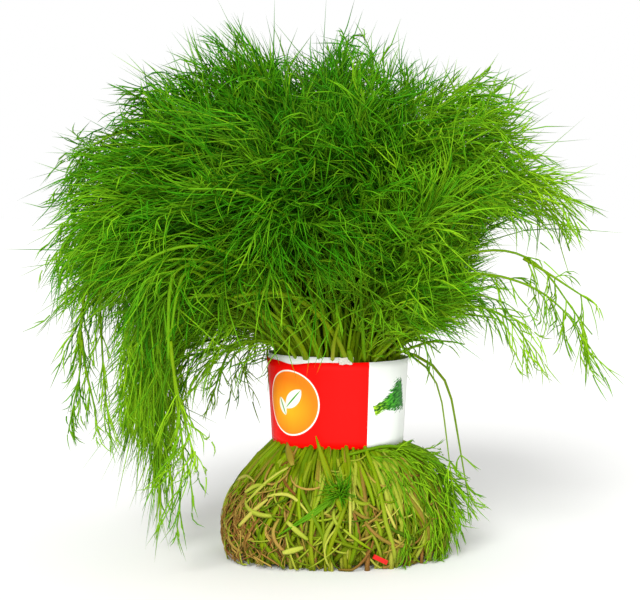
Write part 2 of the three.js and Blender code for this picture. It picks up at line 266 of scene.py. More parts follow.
# The picture: a small tuft of herb leaves, narrow and pale at its stems, wide and dark at its
# tips, with a ragged outline.
tuft_frame = {"Vector": place, "Location": (*TUFT_PRINT, 0), "Rotation": (0, 0, TUFT_TURN)}
turned = node(tree, "Mapping", tuft_frame, vector_type="TEXTURE")
up_tuft, aside = node(tree, "SeparateXYZ", {0: turned}).outputs[:2]
ragged_at = node(tree, "Mapping", {"Vector": turned, "Scale": (0.35, 1.6, 1)})
ragged = node(tree, "TexNoise", {"Vector": ragged_at, "Scale": 1.0, "Detail": 4.0})
widening = {"From Min": 0.25 * TUFT_LENGTH, "From Max": 0.8 * TUFT_LENGTH, "To Min": 2.6, "To Max": 8.5}
width = node(tree, "MapRange", {"Value": up_tuft, **widening})
wider = node(tree, "Math", {0: ragged, 1: 1.9}, operation="MULTIPLY")
reach = node(tree, "Math", {0: width, 1: wider}, operation="MULTIPLY")
off_line = node(tree, "Math", {0: aside}, operation="ABSOLUTE")
within = node(tree, "Math", {0: off_line, 1: reach}, operation="LESS_THAN")
longer = node(tree, "Math", {0: ragged, 1: 7.0}, operation="MULTIPLY")
ragged_end = node(tree, "Math", {0: up_tuft, 1: longer}, operation="ADD")
below_tips = node(tree, "Math", {0: ragged_end, 1: TUFT_LENGTH + 2}, operation="LESS_THAN")
above_foot = node(tree, "Math", {0: up_tuft, 1: 0.0}, operation="GREATER_THAN")
in_length = node(tree, "Math", {0: above_foot, 1: below_tips}, operation="MULTIPLY")
in_tuft = node(tree, "Math", {0: within, 1: in_length}, operation="MULTIPLY")
tuft_share = node(tree, "MapRange", {"Value": up_tuft, "From Max": TUFT_LENGTH})
greens = ((0, "#b4e02e"), (1, "#3c7c3a"), (0.4, "#4fb024"))
tuft_green = node(tree, "ValToRGB", {"Fac": tuft_share}, stops=greens)
streaks_at = node(tree, "Mapping", {"Vector": turned, "Scale": (0.25, 1.5, 1)})
streaks = node(tree, "TexNoise", {"Vector": streaks_at, "Scale": 1.6, "Detail": 3.0})
streak = node(tree, "MapRange", {"Value": streaks, "From Min": 0.42, "From Max": 0.6})
tuft_ink = node(tree, "Mix", {0: streak, 6: srgb("#0f4a12"), 7: tuft_green}, 2, data_type="RGBA")

white = srgb("#e6e8e5")
inks = [(in_panel, white), (in_start, white), (rim, srgb("#fff4ea")), (patch, orange), (in_tuft, tuft_ink)]
# Two plain white leaves with green ribs on the patch. Each is where two discs overlap.
for middle, degrees, length in LEAVES:
    turn = math.radians(degrees)
    aside = np.array([-math.sin(turn), math.cos(turn)]) * 0.62 * length
    discs = [ellipse_mask(tree, place, tuple(middle + way * aside), (1.05 * length,) * 2) for way in (-1, 1)]
    leaf = node(tree, "Math", {0: discs[0], 1: discs[1]}, operation="MULTIPLY")
    rib = ellipse_mask(tree, place, middle, (0.8 * length, 0.4), turn)
    inks += [(leaf, srgb("#f6f2e6")), (rib, srgb("#3f9a20"))]
ink = srgb("#fc0602")
for share, colour in inks:
    ink = node(tree, "Mix", {0: share, 6: ink, 7: colour}, 2, data_type="RGBA")
colour = node(tree, "Mix", {0: outer_side, 6: srgb("#e9e8e2"), 7: ink}, 2, data_type="RGBA")
fibre = node(tree, "TexNoise", {"Vector": place, "Scale": 1.3, "Detail": 4.0, "Roughness": 0.6})
bump = node(tree, "Bump", {"Strength": 0.12, "Distance": 0.0002, "Height": fibre})
finish = {"Base Color": colour, "Roughness": 0.5, "Specular IOR Level": 0.1, "Normal": bump}
node(tree, "OutputMaterial", {"Surface": node(tree, "BsdfPrincipled", finish)})

# The strip. "place" holds the millimetres along it from the front, the height, and 1 on the side
# that faces out.
turn = np.linspace(0, TURN + LAP_ANGLE, BAND_COLUMNS)
angle = START_ANGLE - turn
is_start = 1 - smooth_step(turn, LAP_ANGLE, LAP_ANGLE + 1.0)
rise = START_RISE * is_start
dip = EDGE_DIP[0] * np.exp(-((angle % TURN - EDGE_DIP[1]) / EDGE_DIP[2]) ** 2) * (1 - is_start)
rows = np.linspace(0, 1, BAND_ROWS)
z = mix((BAND_BOTTOM + rise)[:, None], (BAND_TOP + rise - dip)[:, None], rows)
dents = sum(depth * np.sin(count * angle + start) for depth, count, start in STEM_DENTS)
inset = START_INSET * is_start - END_LIFT * smooth_step(turn, turn[-1] - END_TURN, turn[-1]) - dents
arc = distances_along(joined(np.cos(angle), np.sin(angle)) * BAND_MIDDLE_HALF)
along = np.interp(START_ANGLE - math.radians(270) + TURN, turn, arc) - arc
layers, places = [], []
for side, depth in ((1, 0), (0, PAPER)):
    radii = band_half(z) - (inset[:, None] + depth)[..., None]
    x, y = radii[..., 0] * np.cos(angle)[:, None], radii[..., 1] * np.sin(angle)[:, None]
    layers.append(joined(x, y, z))
    places.append(joined(along[:, None], z, side))
paper_band = mesh_piece("paper_band", *thin_sheet(*layers), [printed_paper], place=places)
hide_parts("label_band")
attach(paper_band, "root")

# A wrinkled end of the clear tape that holds the strip's start, on the band's top edge.
TAPE_MIDDLE = (3.2, 98.4)
TAPE_HALF = (3.2, 1.7)
TAPE_THICK = 0.06
TAPE_OFF = 0.55  # from the band's outer side
TAPE_GRID = 22
# Clear adhesive tape: a smooth glossy film, a little cloudy.
clear_tape, tree = new_material("clear_adhesive_tape")
film = node(tree, "BsdfPrincipled", {"Base Color": srgb("#e4dfd2"), "Roughness": 0.2, "Coat Weight": 0.5})
both = node(tree, "MixShader", {0: 0.62, 1: node(tree, "BsdfTransparent"), 2: film})
node(tree, "OutputMaterial", {"Surface": both})
u, v = np.meshgrid(np.linspace(1, -1, TAPE_GRID), np.linspace(-1, 1, TAPE_GRID), indexing="ij")
crease = 0.35 * np.sin(9 * u + 4 * v) * np.cos(5 * v - 3 * u)
crease += 0.2 * np.sin(17 * u - 8 * v + 1) + 0.1 * np.sin(14 * v + 6 * u)
x = TAPE_MIDDLE[0] + TAPE_HALF[0] * (u + 0.08 * np.sin(6 * v)) + 0.15 * crease
z = TAPE_MIDDLE[1] + TAPE_HALF[1] * (v + 0.1 * np.sin(5 * u + 1))
half = band_half(z)
y = -half[..., 1] * np.sqrt(1 - (x / half[..., 0]) ** 2) - TAPE_OFF - 0.3 * crease
front = joined(x, y, z)
tape = mesh_piece("clear_tape", *thin_sheet(front, front + [0, TAPE_THICK, 0]), [clear_tape])
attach(tape, "root")

# ---- Routes of the stems ----
# The same seeded rule that places the solids' stems: handfuls of three, in rings round a central
# one, held by the band, splayed below it and leaning out and bending over above it.

RINGS = 3
STEMS_EACH = 3
NEIGHBOUR = 2.6
WALL_GAP = 4.9
BAND_WALL = 0.5
RELEASE = 4
STEM_RADIUS = 1.7
FOOT_RADIUS = 1.9
TIP_RADIUS = 0.75
SPLAY = 1
FOOT_FAN = 1.4
SPLAY_HEIGHT = 12
FOOT_LEVELS = (0, 24, 44)
UNEVEN_CUT = 5
SIDE_HEADINGS = (0, 50, 130, 180, 230, 290, 330)
CROWN_SIDES = {
    "lean": (42, 40, 50, 44, 44, 46, 42),
    "bend": (50, 50, 74, 142, 66, 70, 56),
    "bend_length": (120, 130, 110, 80, 130, 120, 120),
    "length": (46, 62, 104, 152, 104, 76, 48),
    "upper_bend": (70, 58, 50, 46, 50, 50, 66),
    "upper_length": (108, 118, 132, 136, 132, 106, 104),
}
MIDDLE = {"bend": 14, "bend_length": 185, "length": 148}
UPPER_TIER = {"lean": -14, "bend_length": 145}
MEMBER_HEADING = (0, 0.12, -0.12)
MEMBER_LEAN = (0, 0, 8)
NATURAL = {"heading": 0.1, "length": 0.06, "lean": 6, "bend": 8}
DEPTH_SHARE = 0.86
KNEES = [12]
FALLEN_HANDFUL = 36
FALLEN_MEMBERS = (0, 2)
FALLEN_FAN = 0.1
FALLEN = {"lean": 62, "bend": 111, "bend_length": 31, "length": 92,
          "knees": [7, 14, 21, 30], "whorls": [0.8, 0.93]}
FIRST_WHORL = 0.34
LAST_WHORL = 0.94
WHORL_SPACING = 18
WHORL_HEIGHT = 1.4
CLEARANCE = 0.35
LEAFY_GAP = 4
ROUTE_TRIES = 60
STRAY = 0.02


def draw(stem, use):
    """A fixed random number from 0 to 1 for a stem and a use."""
    wave = math.sin(stem * 12.9898 + use * 78.233 + 4.1) * 43758.5453
    return wave - math.floor(wave)


def jitter(stem, use):
    """The same, from -1 to 1."""
    return 2 * draw(stem, use) - 1


def handful_places():
    """The ring of each handful, and the share of a turn where it stands in that ring."""
    places = [(0, 0.75)]
    for ring in range(1, RINGS + 1):
        places += [(ring, (k + 0.5 * (ring % 2)) / (6 * ring)) for k in range(6 * ring)]
    return places


def place_in_band(place, member, z, fan=1.0):
    """Where a stem crosses a height inside the band."""
    ring, turn = place
    angle = turn * TURN
    rank = ring / RINGS
    half = band_half(min(z, BAND_TOP)) - WALL_GAP - BAND_WALL
    out = 0 if member == 0 else NEIGHBOUR * math.cos(math.pi / 3)
    along = fan * NEIGHBOUR * math.sin(math.pi / 3) * (0, 1, -1)[member]
    x = (rank * half[0] + out) * math.cos(angle) - along * math.sin(angle)
    y = (rank * half[1] + out) * math.sin(angle) + along * math.cos(angle)
    return np.array([x, y, z])


def place_in_foot(place, member, z):
    """Where a stem is at a height of the foot, splayed out from its place at the band's bottom."""
    free = 1 - math.exp((z - BAND_BOTTOM) / SPLAY_HEIGHT)
    spread = 1 + SPLAY * free
    held = place_in_band(place, member, BAND_BOTTOM, mix(1, FOOT_FAN, free))
    return np.array([held[0] * spread, held[1] * spread, z])


def crown_side(heading):
    """The outermost stems' habit on the side that a heading points to."""
    degrees = math.degrees(heading) % 360
    high = next((k for k, side in enumerate(SIDE_HEADINGS) if side > degrees), 0)
    low = high - 1
    span = (SIDE_HEADINGS[high] - SIDE_HEADINGS[low]) % 360
    share = float(smooth_step((degrees - SIDE_HEADINGS[low]) / span, 0, 1))
    return {key: mix(values[low], values[high], share) for key, values in CROWN_SIDES.items()}


def habit(place, member, stem, tried):
    """How a stem behaves above the band."""
    ring, turn = place

    def natural(key, k):
        return NATURAL[key] * (1 + STRAY * tried) * jitter(stem, 900 + 5 * tried + k)

    rank = ring / RINGS
    fan = member * TURN / STEMS_EACH if ring == 0 else 0
    heading = turn * TURN + fan + MEMBER_HEADING[member] + natural("heading", 0)
    if FALLEN_HANDFUL * STEMS_EACH <= stem < 1000 and member in FALLEN_MEMBERS:
        return {**FALLEN, "heading": heading - FALLEN_FAN * member}
    side = crown_side(heading)
    upper = member == 1 and ring > 0
    tier = "upper_" if upper else ""
    lean = rank * (side["lean"] + (UPPER_TIER["lean"] if upper else 0)) + MEMBER_LEAN[member] * (1 - rank)
    bend = mix(MIDDLE["bend"], side[tier + "bend"], rank**1.6)
    bend_length = UPPER_TIER["bend_length"] if upper else side["bend_length"]
    length = mix(MIDDLE["length"], side[tier + "length"], rank**2) * (1 + natural("length", 1))
    count = math.floor((LAST_WHORL - FIRST_WHORL) * length / WHORL_SPACING + 0.5) + 1
    return {
        "heading": heading,
        "lean": max(lean + natural("lean", 2), 1),
        "bend": bend + natural("bend", 3),
        "bend_length": mix(MIDDLE["bend_length"], bend_length, rank**2),
        "length": length,
        "knees": KNEES,
        "whorls": [mix(FIRST_WHORL, LAST_WHORL, k / (count - 1)) for k in range(count)],
    }


def stalk_points(start, ways, distances):
    """Points of the stalk above the band, at the given distances along it."""
    steps = np.diff(np.concatenate([[0], distances]))
    pieces = [min(1, step - k) for step in steps for k in range(math.ceil(step - 1e-12))]
    gone = np.concatenate([[0], np.cumsum(pieces)])
    lengths = np.array(pieces)
    share = np.minimum(1, (gone[:-1] + lengths / 2) / ways["bend_length"])
    angle = np.radians(ways["lean"] + ways["bend"] * (1 - np.cos(math.pi * share)) / 2)
    out = np.concatenate([[0], np.cumsum(lengths * np.sin(angle))])
    up = np.concatenate([[0], np.cumsum(lengths * np.cos(angle))])
    out = np.interp(distances, gone, out)
    up = np.interp(distances, gone, up)
    across = (math.cos(ways["heading"]), DEPTH_SHARE * math.sin(ways["heading"]))
    return joined(start[0] + across[0] * out, start[1] + across[1] * out, start[2] + up)


def stem_route(place, member, stem, tried=0):
    """One stem from its cut end to its tip, as the solids have it, and its habit."""
    lift = 0 if stem == 0 or draw(stem, 1) < 0.5 else UNEVEN_CUT * draw(stem, 2)
    foot = [place_in_foot(place, member, level or lift) for level in FOOT_LEVELS]
    held = [place_in_band(place, member, z) for z in (BAND_BOTTOM, BAND_TOP + RELEASE)]
    ways = habit(place, member, stem, tried)
    starts = [share * ways["length"] for share in ways["whorls"]]
    whorls = [d for start in starts for d in (start, start + WHORL_HEIGHT)]
    distances = [*ways["knees"], *whorls, ways["length"]]
    points = np.concatenate([foot, held, stalk_points(held[1], ways, distances)])
    release = len(foot) + 1
    share = np.maximum(0, np.arange(len(points)) - release) / (len(points) - 1 - release)
    radii = np.where(np.arange(len(points)) < len(foot), FOOT_RADIUS, mix(STEM_RADIUS, TIP_RADIUS, share))
    return {"place": place, "member": member, "stem": stem, "lift": lift, "ways": ways,
            "points": points, "radii": radii, "first_whorl": release + len(ways["knees"]) + 1}


def rods_of(route, first=0):
    """A route's rods: their ends and the radii there."""
    points, radii = route["points"][first:], route["radii"][first:]
    return points[:-1], points[1:], radii[:-1], radii[1:]


def is_clear(rods, others, gap):
    """Whether every rod keeps the gap to all the others."""
    if not others:
        return True
    a1, b1, ra1, rb1 = (values[:, None] for values in rods)
    a2, b2, ra2, rb2 = (np.concatenate(values)[None] for values in zip(*others))
    d1, d2, r = b1 - a1, b2 - a2, a1 - a2
    a, e, f = (d1 * d1).sum(-1), (d2 * d2).sum(-1), (d2 * r).sum(-1)
    c, b = (d1 * r).sum(-1), (d1 * d2).sum(-1)
    denominator = a * e - b * b
    parallel = denominator < 1e-9
    first = np.where(parallel, 0, np.clip((b * f - c * e) / np.where(parallel, 1, denominator), 0, 1))
    t = np.clip((b * first + f) / e, 0, 1)
    s = np.clip((b * t - c) / a, 0, 1)
    apart = np.linalg.norm(a1 + d1 * s[..., None] - a2 - d2 * t[..., None], axis=-1)
    return bool((apart - mix(ra1, rb1, s) - mix(ra2, rb2, t) >= gap).all())


def draw_routes():
    """The routes of all stems. One that touches another handful's, or runs close along its own
    handful's leafy stems, is drawn again."""
    routes = []
    rods = []
    for handful, place in enumerate(handful_places()):
        others = list(rods)
        leafy = []
        for member in range(STEMS_EACH):
            for tried in range(ROUTE_TRIES):
                route = stem_route(place, member, handful * STEMS_EACH + member, tried)
                settled = (
                    route["points"][-1][2] > TIP_RADIUS
                    and is_clear(rods_of(route), others, CLEARANCE)
                    and is_clear(rods_of(route, route["first_whorl"]), leafy, LEAFY_GAP)
                )
                if settled:
                    break
            leafy.append(rods_of(route, route["first_whorl"]))
            rods.append(rods_of(route))
            routes.append(route)
    return routes


routes = draw_routes()

# ---- Leaf, stem and dry materials ----
# Fresh dill is a deep green that turns yellow-green towards the thread tips and pale yellow-green
# down the stems; the darker thread roots are partly painted shade, as they lie deeper in the leaves.
# "tint" holds a random share (in the foot's strands also painted shade on the deeper ones), the
# share along the thread or stem, and a leaf's painted light, low where painted shade darkens it,
# or how dry a stem is. "grain" holds millimetres round and along a stem, for its ribs.

# Fresh leaf threads: thin and slightly glossy, with light showing through them. Their painted
# light mixes in a near-black green as painted shade, most at the crown's heart.
leaf_green, tree = new_material("fresh_dill_leaf")
tint = node(tree, "Attribute", out="Vector", attribute_name="tint")
chance, along, painted_light = node(tree, "SeparateXYZ", {0: tint}).outputs
green = node(tree, "ValToRGB", {"Fac": along}, stops=((0, "#084a02"), (1, "#479e08")))
pale = node(tree, "Mix", {0: chance, 6: green, 7: srgb("#9acc1c")}, 2, data_type="RGBA")
shade = node(tree, "Mix", {0: painted_light, 6: srgb("#002a00"), 7: pale}, 2, data_type="RGBA")
leaf = node(tree, "BsdfPrincipled", {"Base Color": shade, "Roughness": 0.55, "Specular IOR Level": 0.06})
glow = node(tree, "BsdfTranslucent", {"Color": shade})
node(tree, "OutputMaterial", {"Surface": node(tree, "MixShader", {0: 0.14, 1: leaf, 2: glow})})

# Ribbed juicy stems, pale at the foot, greener above, with darker ribs and dry brown flecks. The
# random share mixes in a darker green, which on the foot's deeper strands is painted shade.
stem_green, tree = new_material("dill_stem")
tint = node(tree, "Attribute", out="Vector", attribute_name="tint")
chance, along, dryness = node(tree, "SeparateXYZ", {0: tint}).outputs
grain = node(tree, "Attribute", out="Vector", attribute_name="grain")
greens = ((0, "#969e08"), (1, "#54980a"), (0.35, "#7e9603"))
green = node(tree, "ValToRGB", {"Fac": along}, stops=greens)
cream = node(tree, "MapRange", {"Value": chance, "From Min": 0.3, "From Max": 0.0})
young = node(tree, "MapRange", {"Value": along, "From Min": 0.32, "From Max": 0.1, "To Max": 0.9})
pale = node(tree, "Math", {0: cream, 1: young}, operation="MULTIPLY")
ribs_at = node(tree, "Mapping", {"Vector": grain, "Scale": (1.6, 1.6, 0.03)})
ribs = node(tree, "TexNoise", {"Vector": ribs_at, "Scale": 1.0, "Detail": 3.0})
faint = node(tree, "Math", {0: ribs, 1: 0.5}, operation="MULTIPLY")
flecks = node(tree, "TexNoise", {"Vector": grain, "Scale": 0.06, "Detail": 2.0})
flecked = node(tree, "Math", {0: flecks, 1: 1.7}, operation="MULTIPLY", use_clamp=True)
dry_share = node(tree, "Math", {0: dryness, 1: flecked}, operation="MULTIPLY")
brown = node(tree, "Mix", {0: chance, 6: srgb("#a07c3e"), 7: srgb("#6a3e16")}, 2, data_type="RGBA")
layers = ((pale, srgb("#c6c458")), (chance, srgb("#304a04")), (faint, srgb("#4f7204")), (dry_share, brown))
colour = green
for share, over in layers:
    colour = node(tree, "Mix", {0: share, 6: colour, 7: over}, 2, data_type="RGBA")
bump = node(tree, "Bump", {"Strength": 0.5, "Distance": 0.0002, "Height": ribs})
finish = {"Base Color": colour, "Roughness": 0.5, "Specular IOR Level": 0.07, "Normal": bump}
flesh = {"Subsurface Weight": 0.12, "Subsurface Radius": (0.6, 1.0, 0.2), "Subsurface Scale": 0.001}
node(tree, "OutputMaterial", {"Surface": node(tree, "BsdfPrincipled", finish | flesh)})

# ---- Leafy stems ----
# One piece for each handful. Each of its stems is a smooth ribbed tube from its cut end to its
# tip, and carries a plume: pairs of branches, each with rows of fine soft threads.

BARE_HEADING = math.radians(240)  # the side where the stems show bare above the band
FALLEN_APART = 0.14
FALLEN_ARC = {"lean": 104, "bend": 66, "bend_length": 46}  # their soft arc over the band's edge
COMPANIONS = 2  # further leafy stems beside each of the handful's three
LEFT_COMPANIONS = 4  # at the left of the outer rings
BARE_COMPANIONS = 2  # and thin ones without leaves
OWN_SPREAD = 0.25  # how far stems stray from the solids' routes: the handful's own, and the others
COMPANION_SPREAD = 1.8
BARE_SPREAD = 2.6
COMPANION_LENGTH = (0.76, 1.0)  # shares of a like stem's length
BARE_SIDE_LEAN = -9
STEM_SIDES = 5
STEM_RADII = {OWN_SPREAD: 1.1, COMPANION_SPREAD: 0.85, BARE_SPREAD: 0.65}
STEM_TAPER = (1.15, 1.0, 0.3)  # at the cut end, above the band and at the tip
FALLEN_RADIUS = 0.85
DRY_STEMS = 0.12  # the share of stems that are dry in the foot
HEIGHT_TINT = ((0, 60, 100, 150), (0, 0.25, 0.5, 0.9))  # heights, and how green stems are there
PLUME_FROM = (0.28, 0.42)  # where leaves start, as a share of the stalk
FALLEN_PLUME = (0.78, 0.28)  # where the fallen stalks' leaves start, and their size
BAND_WAIST = 76
INSIDE_GAP = 2.4  # from the outermost stems' middle lines to the paper
FOOT_LEVEL_COUNT = 9
FOOT_SWIRL = 0.12  # how far stems turn, close in and sway in the foot, times how far they stray
FOOT_CLOSING = 0.1
FOOT_SWAY = 1.2
STALK_SWAY = 1.5
POINT_SPACING = 9
STALK_SHARE = 0.97  # the branches at its tip reach the rest of its length
BRANCH_SPACING = 9
BRANCH_LENGTH = ((0, 0.25, 0.7, 1), (20, 36, 28, 17))  # along the plume
BRANCH_ANGLE = ((0, 1), (1.0, 0.5))
BRANCH_STEPS = 5
BRANCH_TURNS = (0.9, 1.6)  # how far each pair is turned round the stalk from the last
BRANCH_LIMITS = (0.91, 1.1)  # how far out branches reach, as shares of the crown's outline
OPEN_LENGTH = 0.45  # the share of a branch that is left where it would reach into the open
BRANCH_TAPER = 0.55
THREAD_SPACING = 5.6
THREAD_LENGTH = ((0, 0.3, 1), (19, 31, 18))  # along the branch
THREAD_ANGLE = 0.5
SHORTEST_THREAD = 5
FORKS = 0.55  # the share of threads that fork once more
FORK_LENGTH = 0.62
THREAD_RADIUS = 0.4
BRANCH_RADIUS = 0.42
SURFACE_GAP = 0.6
LAY = 0.28  # how far neighbouring threads sweep the same way
# Painted light of the leaves: low at the crown's heart, which paints them darker as painted shade, higher at
# the plume tips and at the pale places.
PALE_TONE = 0.56  # how much paler leaves are at the right, low at the left and near the band
HEART_PAINTED_LIGHT = 0.16  # how light leaves are at the crown's heart, how much more at tips and where pale
TIP_PAINTED_LIGHT = 0.88
PALE_PAINTED_LIGHT = 0.9
CROWN_MIDDLE = np.array([-5, 0, 150])
CROWN_OUTLINE = (  # the crown's outline from the front: degrees from +X round its middle, and reach
    (-30, -3, 1, 6, 11, 16, 21, 26, 31, 35, 43, 53, 59, 67, 77, 84, 88, 96, 101, 109, 113, 119,
     127, 137, 142, 146, 149, 153, 159, 165, 172, 178, 184, 193, 200),
    (135, 120, 128, 130, 127, 119, 112, 109, 114, 119, 118, 110, 99, 98, 103, 110, 105, 93, 100,
     98, 113, 117, 115, 124, 129, 120, 119, 130, 141, 139, 136, 138, 142, 138, 146),
)
CROWN_DEPTH = 105
CROWN_ROUNDNESS = 3
# The drooping fronds at the left: heights, and x of their left and of their right edge.
DROOP_LEFT = ((0, 11, 27, 34, 47, 60, 90, 115, 122), (-104, -100, -93, -94, -104, -112, -113, -115, -150))
DROOP_RIGHT = ((0, 5, 20, 30, 45, 60, 70, 75, 82, 104), (-88, -88, -77, -69, -64, -67, -74, -78, -83, -85))
LEFT_GAPS = ((-109, 122, 4, 8), (-95, 119, 2, 4))  # middles and half sizes of two open spots
LEFT_OPEN = (-38, 122)  # the open space under the crown at the left: up to this x and height
DROOP_JOIN = 102  # above it no space is open between the drooping fronds and the neck
RIGHT_OPEN = 26  # and at the right: from this x
RIGHT_UNDERSIDE = (  # x and heights
    (26, 38, 46, 54, 63, 69, 71, 74, 83, 95, 99, 102, 113, 121),
    (95, 96.5, 99, 109, 114, 124, 152, 167, 169, 165, 159, 150, 146, 154),
)
BAND_FRONT = (60, 101)  # no leaves hang in front of the band between these heights
FRONT_HALF = (44, 40)  # within this far of its middle: leaves inside the outline, and others
RAGGED = 2.5  # how ragged the edges of open places are
BARE_NECK = (-30, 50, 140)  # the neck's bare part at the front left: middle x, half width and top
BARE_SHARE = 0.6  # of the leaves that are missing there
LEFT_HANG = 1.8  # how steeply leaves hang in the drooping fronds, and at the crown's outside
OUTER_HANG = 0.62
# Heights of the foot, and its half width there.
FOOT_PROFILE = ((0, 12, 20, 30, 40, 48, 54, 57, 60), (54, 57, 57, 53, 46.5, 40, 34, 30.5, 29.5))
FOOT_DEPTH = 0.87


class Batch:
    """Vertices, triangles and attributes that are gathered for one piece."""

    def __init__(self):
        self.parts, self.count = [], 0

    def add(self, verts, faces, slot, tint, grain):
        self.parts.append((verts, faces + self.count, np.full(len(faces), slot), tint, grain))
        self.count += len(verts)

    def piece(self, name, materials):
        verts, faces, slots, tint, grain = (np.concatenate(values) for values in zip(*self.parts))
        verts[:, 2] = np.maximum(verts[:, 2], 0)  # the lowest rest on the surface
        return mesh_piece(name, verts, faces, materials, slots, tint=tint, grain=grain)


def unit(vectors):
    return vectors / np.maximum(np.linalg.norm(vectors, axis=-1, keepdims=True), 1e-9)


def add_tubes(batch, slot, paths, radii, sides, side_way, tint, flat=1.0, pointed=True):
    """Adds a tube along each path of points. side_way starts each tube's frame, tint is
    (random, along, painted light or dry) at each point, and flat squeezes the tube one way."""
    count, steps = paths.shape[:2]
    if not count:
        return
    tangents = unit(np.gradient(paths, axis=1))
    frames = np.empty_like(paths)
    way = side_way
    for k in range(steps):
        way = unit(way - (way * tangents[:, k]).sum(-1, keepdims=True) * tangents[:, k])
        frames[:, k] = way
    across = np.cross(tangents, frames)
    turns = np.arange(sides) * TURN / sides
    one_way, other_way = radii[..., None] * np.cos(turns), radii[..., None] * np.sin(turns)
    rings = paths[:, :, None] + one_way[..., None] * frames[:, :, None]
    rings = rings + np.reshape(flat, (-1, 1, 1, 1)) * other_way[..., None] * across[:, :, None]
    gone = np.cumsum(np.linalg.norm(np.diff(paths, axis=1, prepend=paths[:, :1]), axis=-1), 1)
    apart = 40 * tint[:, :1, :1]  # so that no two tubes have the same grain
    grain = joined(one_way + apart, other_way, gone[..., None])
    tints = np.broadcast_to(tint[:, :, None], rings.shape)
    kept = steps - 1 if pointed else steps
    verts, grain, tints = (value[:, :kept].reshape(count, -1, 3) for value in (rings, grain, tints))
    if pointed:
        ends = ((verts, paths[:, -1:]), (grain, grain[:, -1:]), (tints, tint[:, -1:]))
        verts, grain, tints = (np.concatenate(values, 1) for values in ends)
    here = np.arange(sides)
    there = (here + 1) % sides
    top = (kept - 1) * sides
    low = np.arange(0, top, sides)[:, None]
    high = low + sides
    walls = np.stack([[low + here, low + there, high + there], [low + here, high + there, high + here]])
    faces = [np.moveaxis(walls, 1, -1).reshape(-1, 3)]
    fan = np.arange(1, sides - 1)
    if pointed:
        faces.append(joined(top + here, top + there, top + sides))
    else:
        faces += [joined(0, fan + 1, fan), top + joined(0, fan, fan + 1)]
    starts = np.arange(count)[:, None, None] * verts.shape[1]
    faces = (np.concatenate(faces) + starts).reshape(-1, 3)
    batch.add(verts.reshape(-1, 3), faces, slot, tints.reshape(-1, 3), grain.reshape(-1, 3))


def fine_stem(route, rng, wander):
    """A stem's middle line with points close enough together to bend smoothly, and where its
    stalk starts. wander is how far it strays from its place in the foot."""
    place, member, ways = route["place"], route["member"], route["ways"]
    levels = np.linspace(route["lift"], BAND_BOTTOM, FOOT_LEVEL_COUNT)[:-1]
    foot = np.array([place_in_foot(place, member, z) for z in levels])
    free = 1 - levels / BAND_BOTTOM
    swirl = wander * FOOT_SWIRL * rng.normal() * free
    cos, sin = np.cos(swirl), np.sin(swirl)
    foot[:, :2] = joined(foot[:, 0] * cos - foot[:, 1] * sin, foot[:, 0] * sin + foot[:, 1] * cos)
    foot[:, :2] *= (1 - wander * FOOT_CLOSING * rng.random() * free)[:, None]
    sway = wander * rng.normal(size=(2, 2))
    phase = levels / BAND_BOTTOM * math.pi
    waves = sway[0] * np.sin(phase)[:, None] + 0.6 * sway[1] * np.sin(2 * phase)[:, None]
    foot[:, :2] += FOOT_SWAY * waves
    spread = np.hypot(foot[:, 0], foot[:, 1] / FOOT_DEPTH) / np.interp(levels, *FOOT_PROFILE)
    foot[:, :2] /= np.maximum(spread, 1)[:, None]
    held = np.array([place_in_band(place, member, z) for z in (BAND_BOTTOM, BAND_WAIST, BAND_TOP + RELEASE)])
    held[:, :2] += wander * rng.normal(size=2)
    room = band_half(BAND_BOTTOM) - INSIDE_GAP
    outside = np.hypot(held[:, 0] / room[0], held[:, 1] / room[1])
    held[:, :2] /= np.maximum(outside, 1)[:, None]
    length = STALK_SHARE * ways["length"]
    distances = np.linspace(0, length, max(10, int(length / POINT_SPACING)))[1:]
    stalk = stalk_points(held[-1], ways, distances)
    gone = distances / length
    sideways = rng.normal(size=(2, 3)) * np.array([1, 1, 0.6])
    stray = np.multiply.outer(gone**1.5, sideways[0])
    stray += 0.8 * np.multiply.outer(np.sin(gone * 5) * gone, sideways[1])
    line = np.concatenate([foot, held, stalk + STALK_SWAY * wander * stray])
    return line, len(foot) + len(held) - 1


def read_at(spots, gone, values):
    """Rows of values, known at some distances, read at others."""
    return np.stack([np.interp(spots, gone, column) for column in values.T], -1)


def resample(points, spots):
    """Points and directions on a line at the given distances along it."""
    gone = distances_along(points)
    directions = unit(np.gradient(points, axis=0))
    return read_at(spots, gone, points), unit(read_at(spots, gone, directions))


def perpendicular(directions, turns):
    """Unit vectors square to the directions, turned round them by the given angles."""
    reference = np.where(np.abs(directions[..., 2:]) < 0.9, [0.0, 0.0, 1.0], [1.0, 0.0, 0.0])
    first = unit(np.cross(directions, reference))
    second = np.cross(directions, first)
    return first * np.cos(turns)[..., None] + second * np.sin(turns)[..., None]


def curves(starts, directions, bends, lengths, steps):
    """Paths that leave along their directions and bend away, evenly spaced."""
    share = np.linspace(0, 1, steps)
    paths = starts[:, None] + lengths[:, None, None] * (
        share[:, None] * directions[:, None] + (share**2)[:, None] * bends[:, None]
    )
    paths[..., 2] = np.maximum(paths[..., 2], SURFACE_GAP)
    return paths


def lay(at):
    """The way in which threads sweep at places in the crown, the same for near neighbours."""
    x, y, z = np.moveaxis(at, -1, 0)
    sweep_x = np.sin(0.071 * y + 0.043 * z + 1.0) + 0.6 * np.sin(0.13 * z - 0.05 * x)
    sweep_y = np.sin(0.063 * x - 0.055 * z + 2.0) + 0.6 * np.sin(0.11 * x + 0.09 * y)
    sweep_z = np.sin(0.058 * x + 0.067 * y + 4.0) + 0.6 * np.sin(0.12 * y - 0.08 * x)
    return joined(sweep_x, sweep_y, sweep_z)


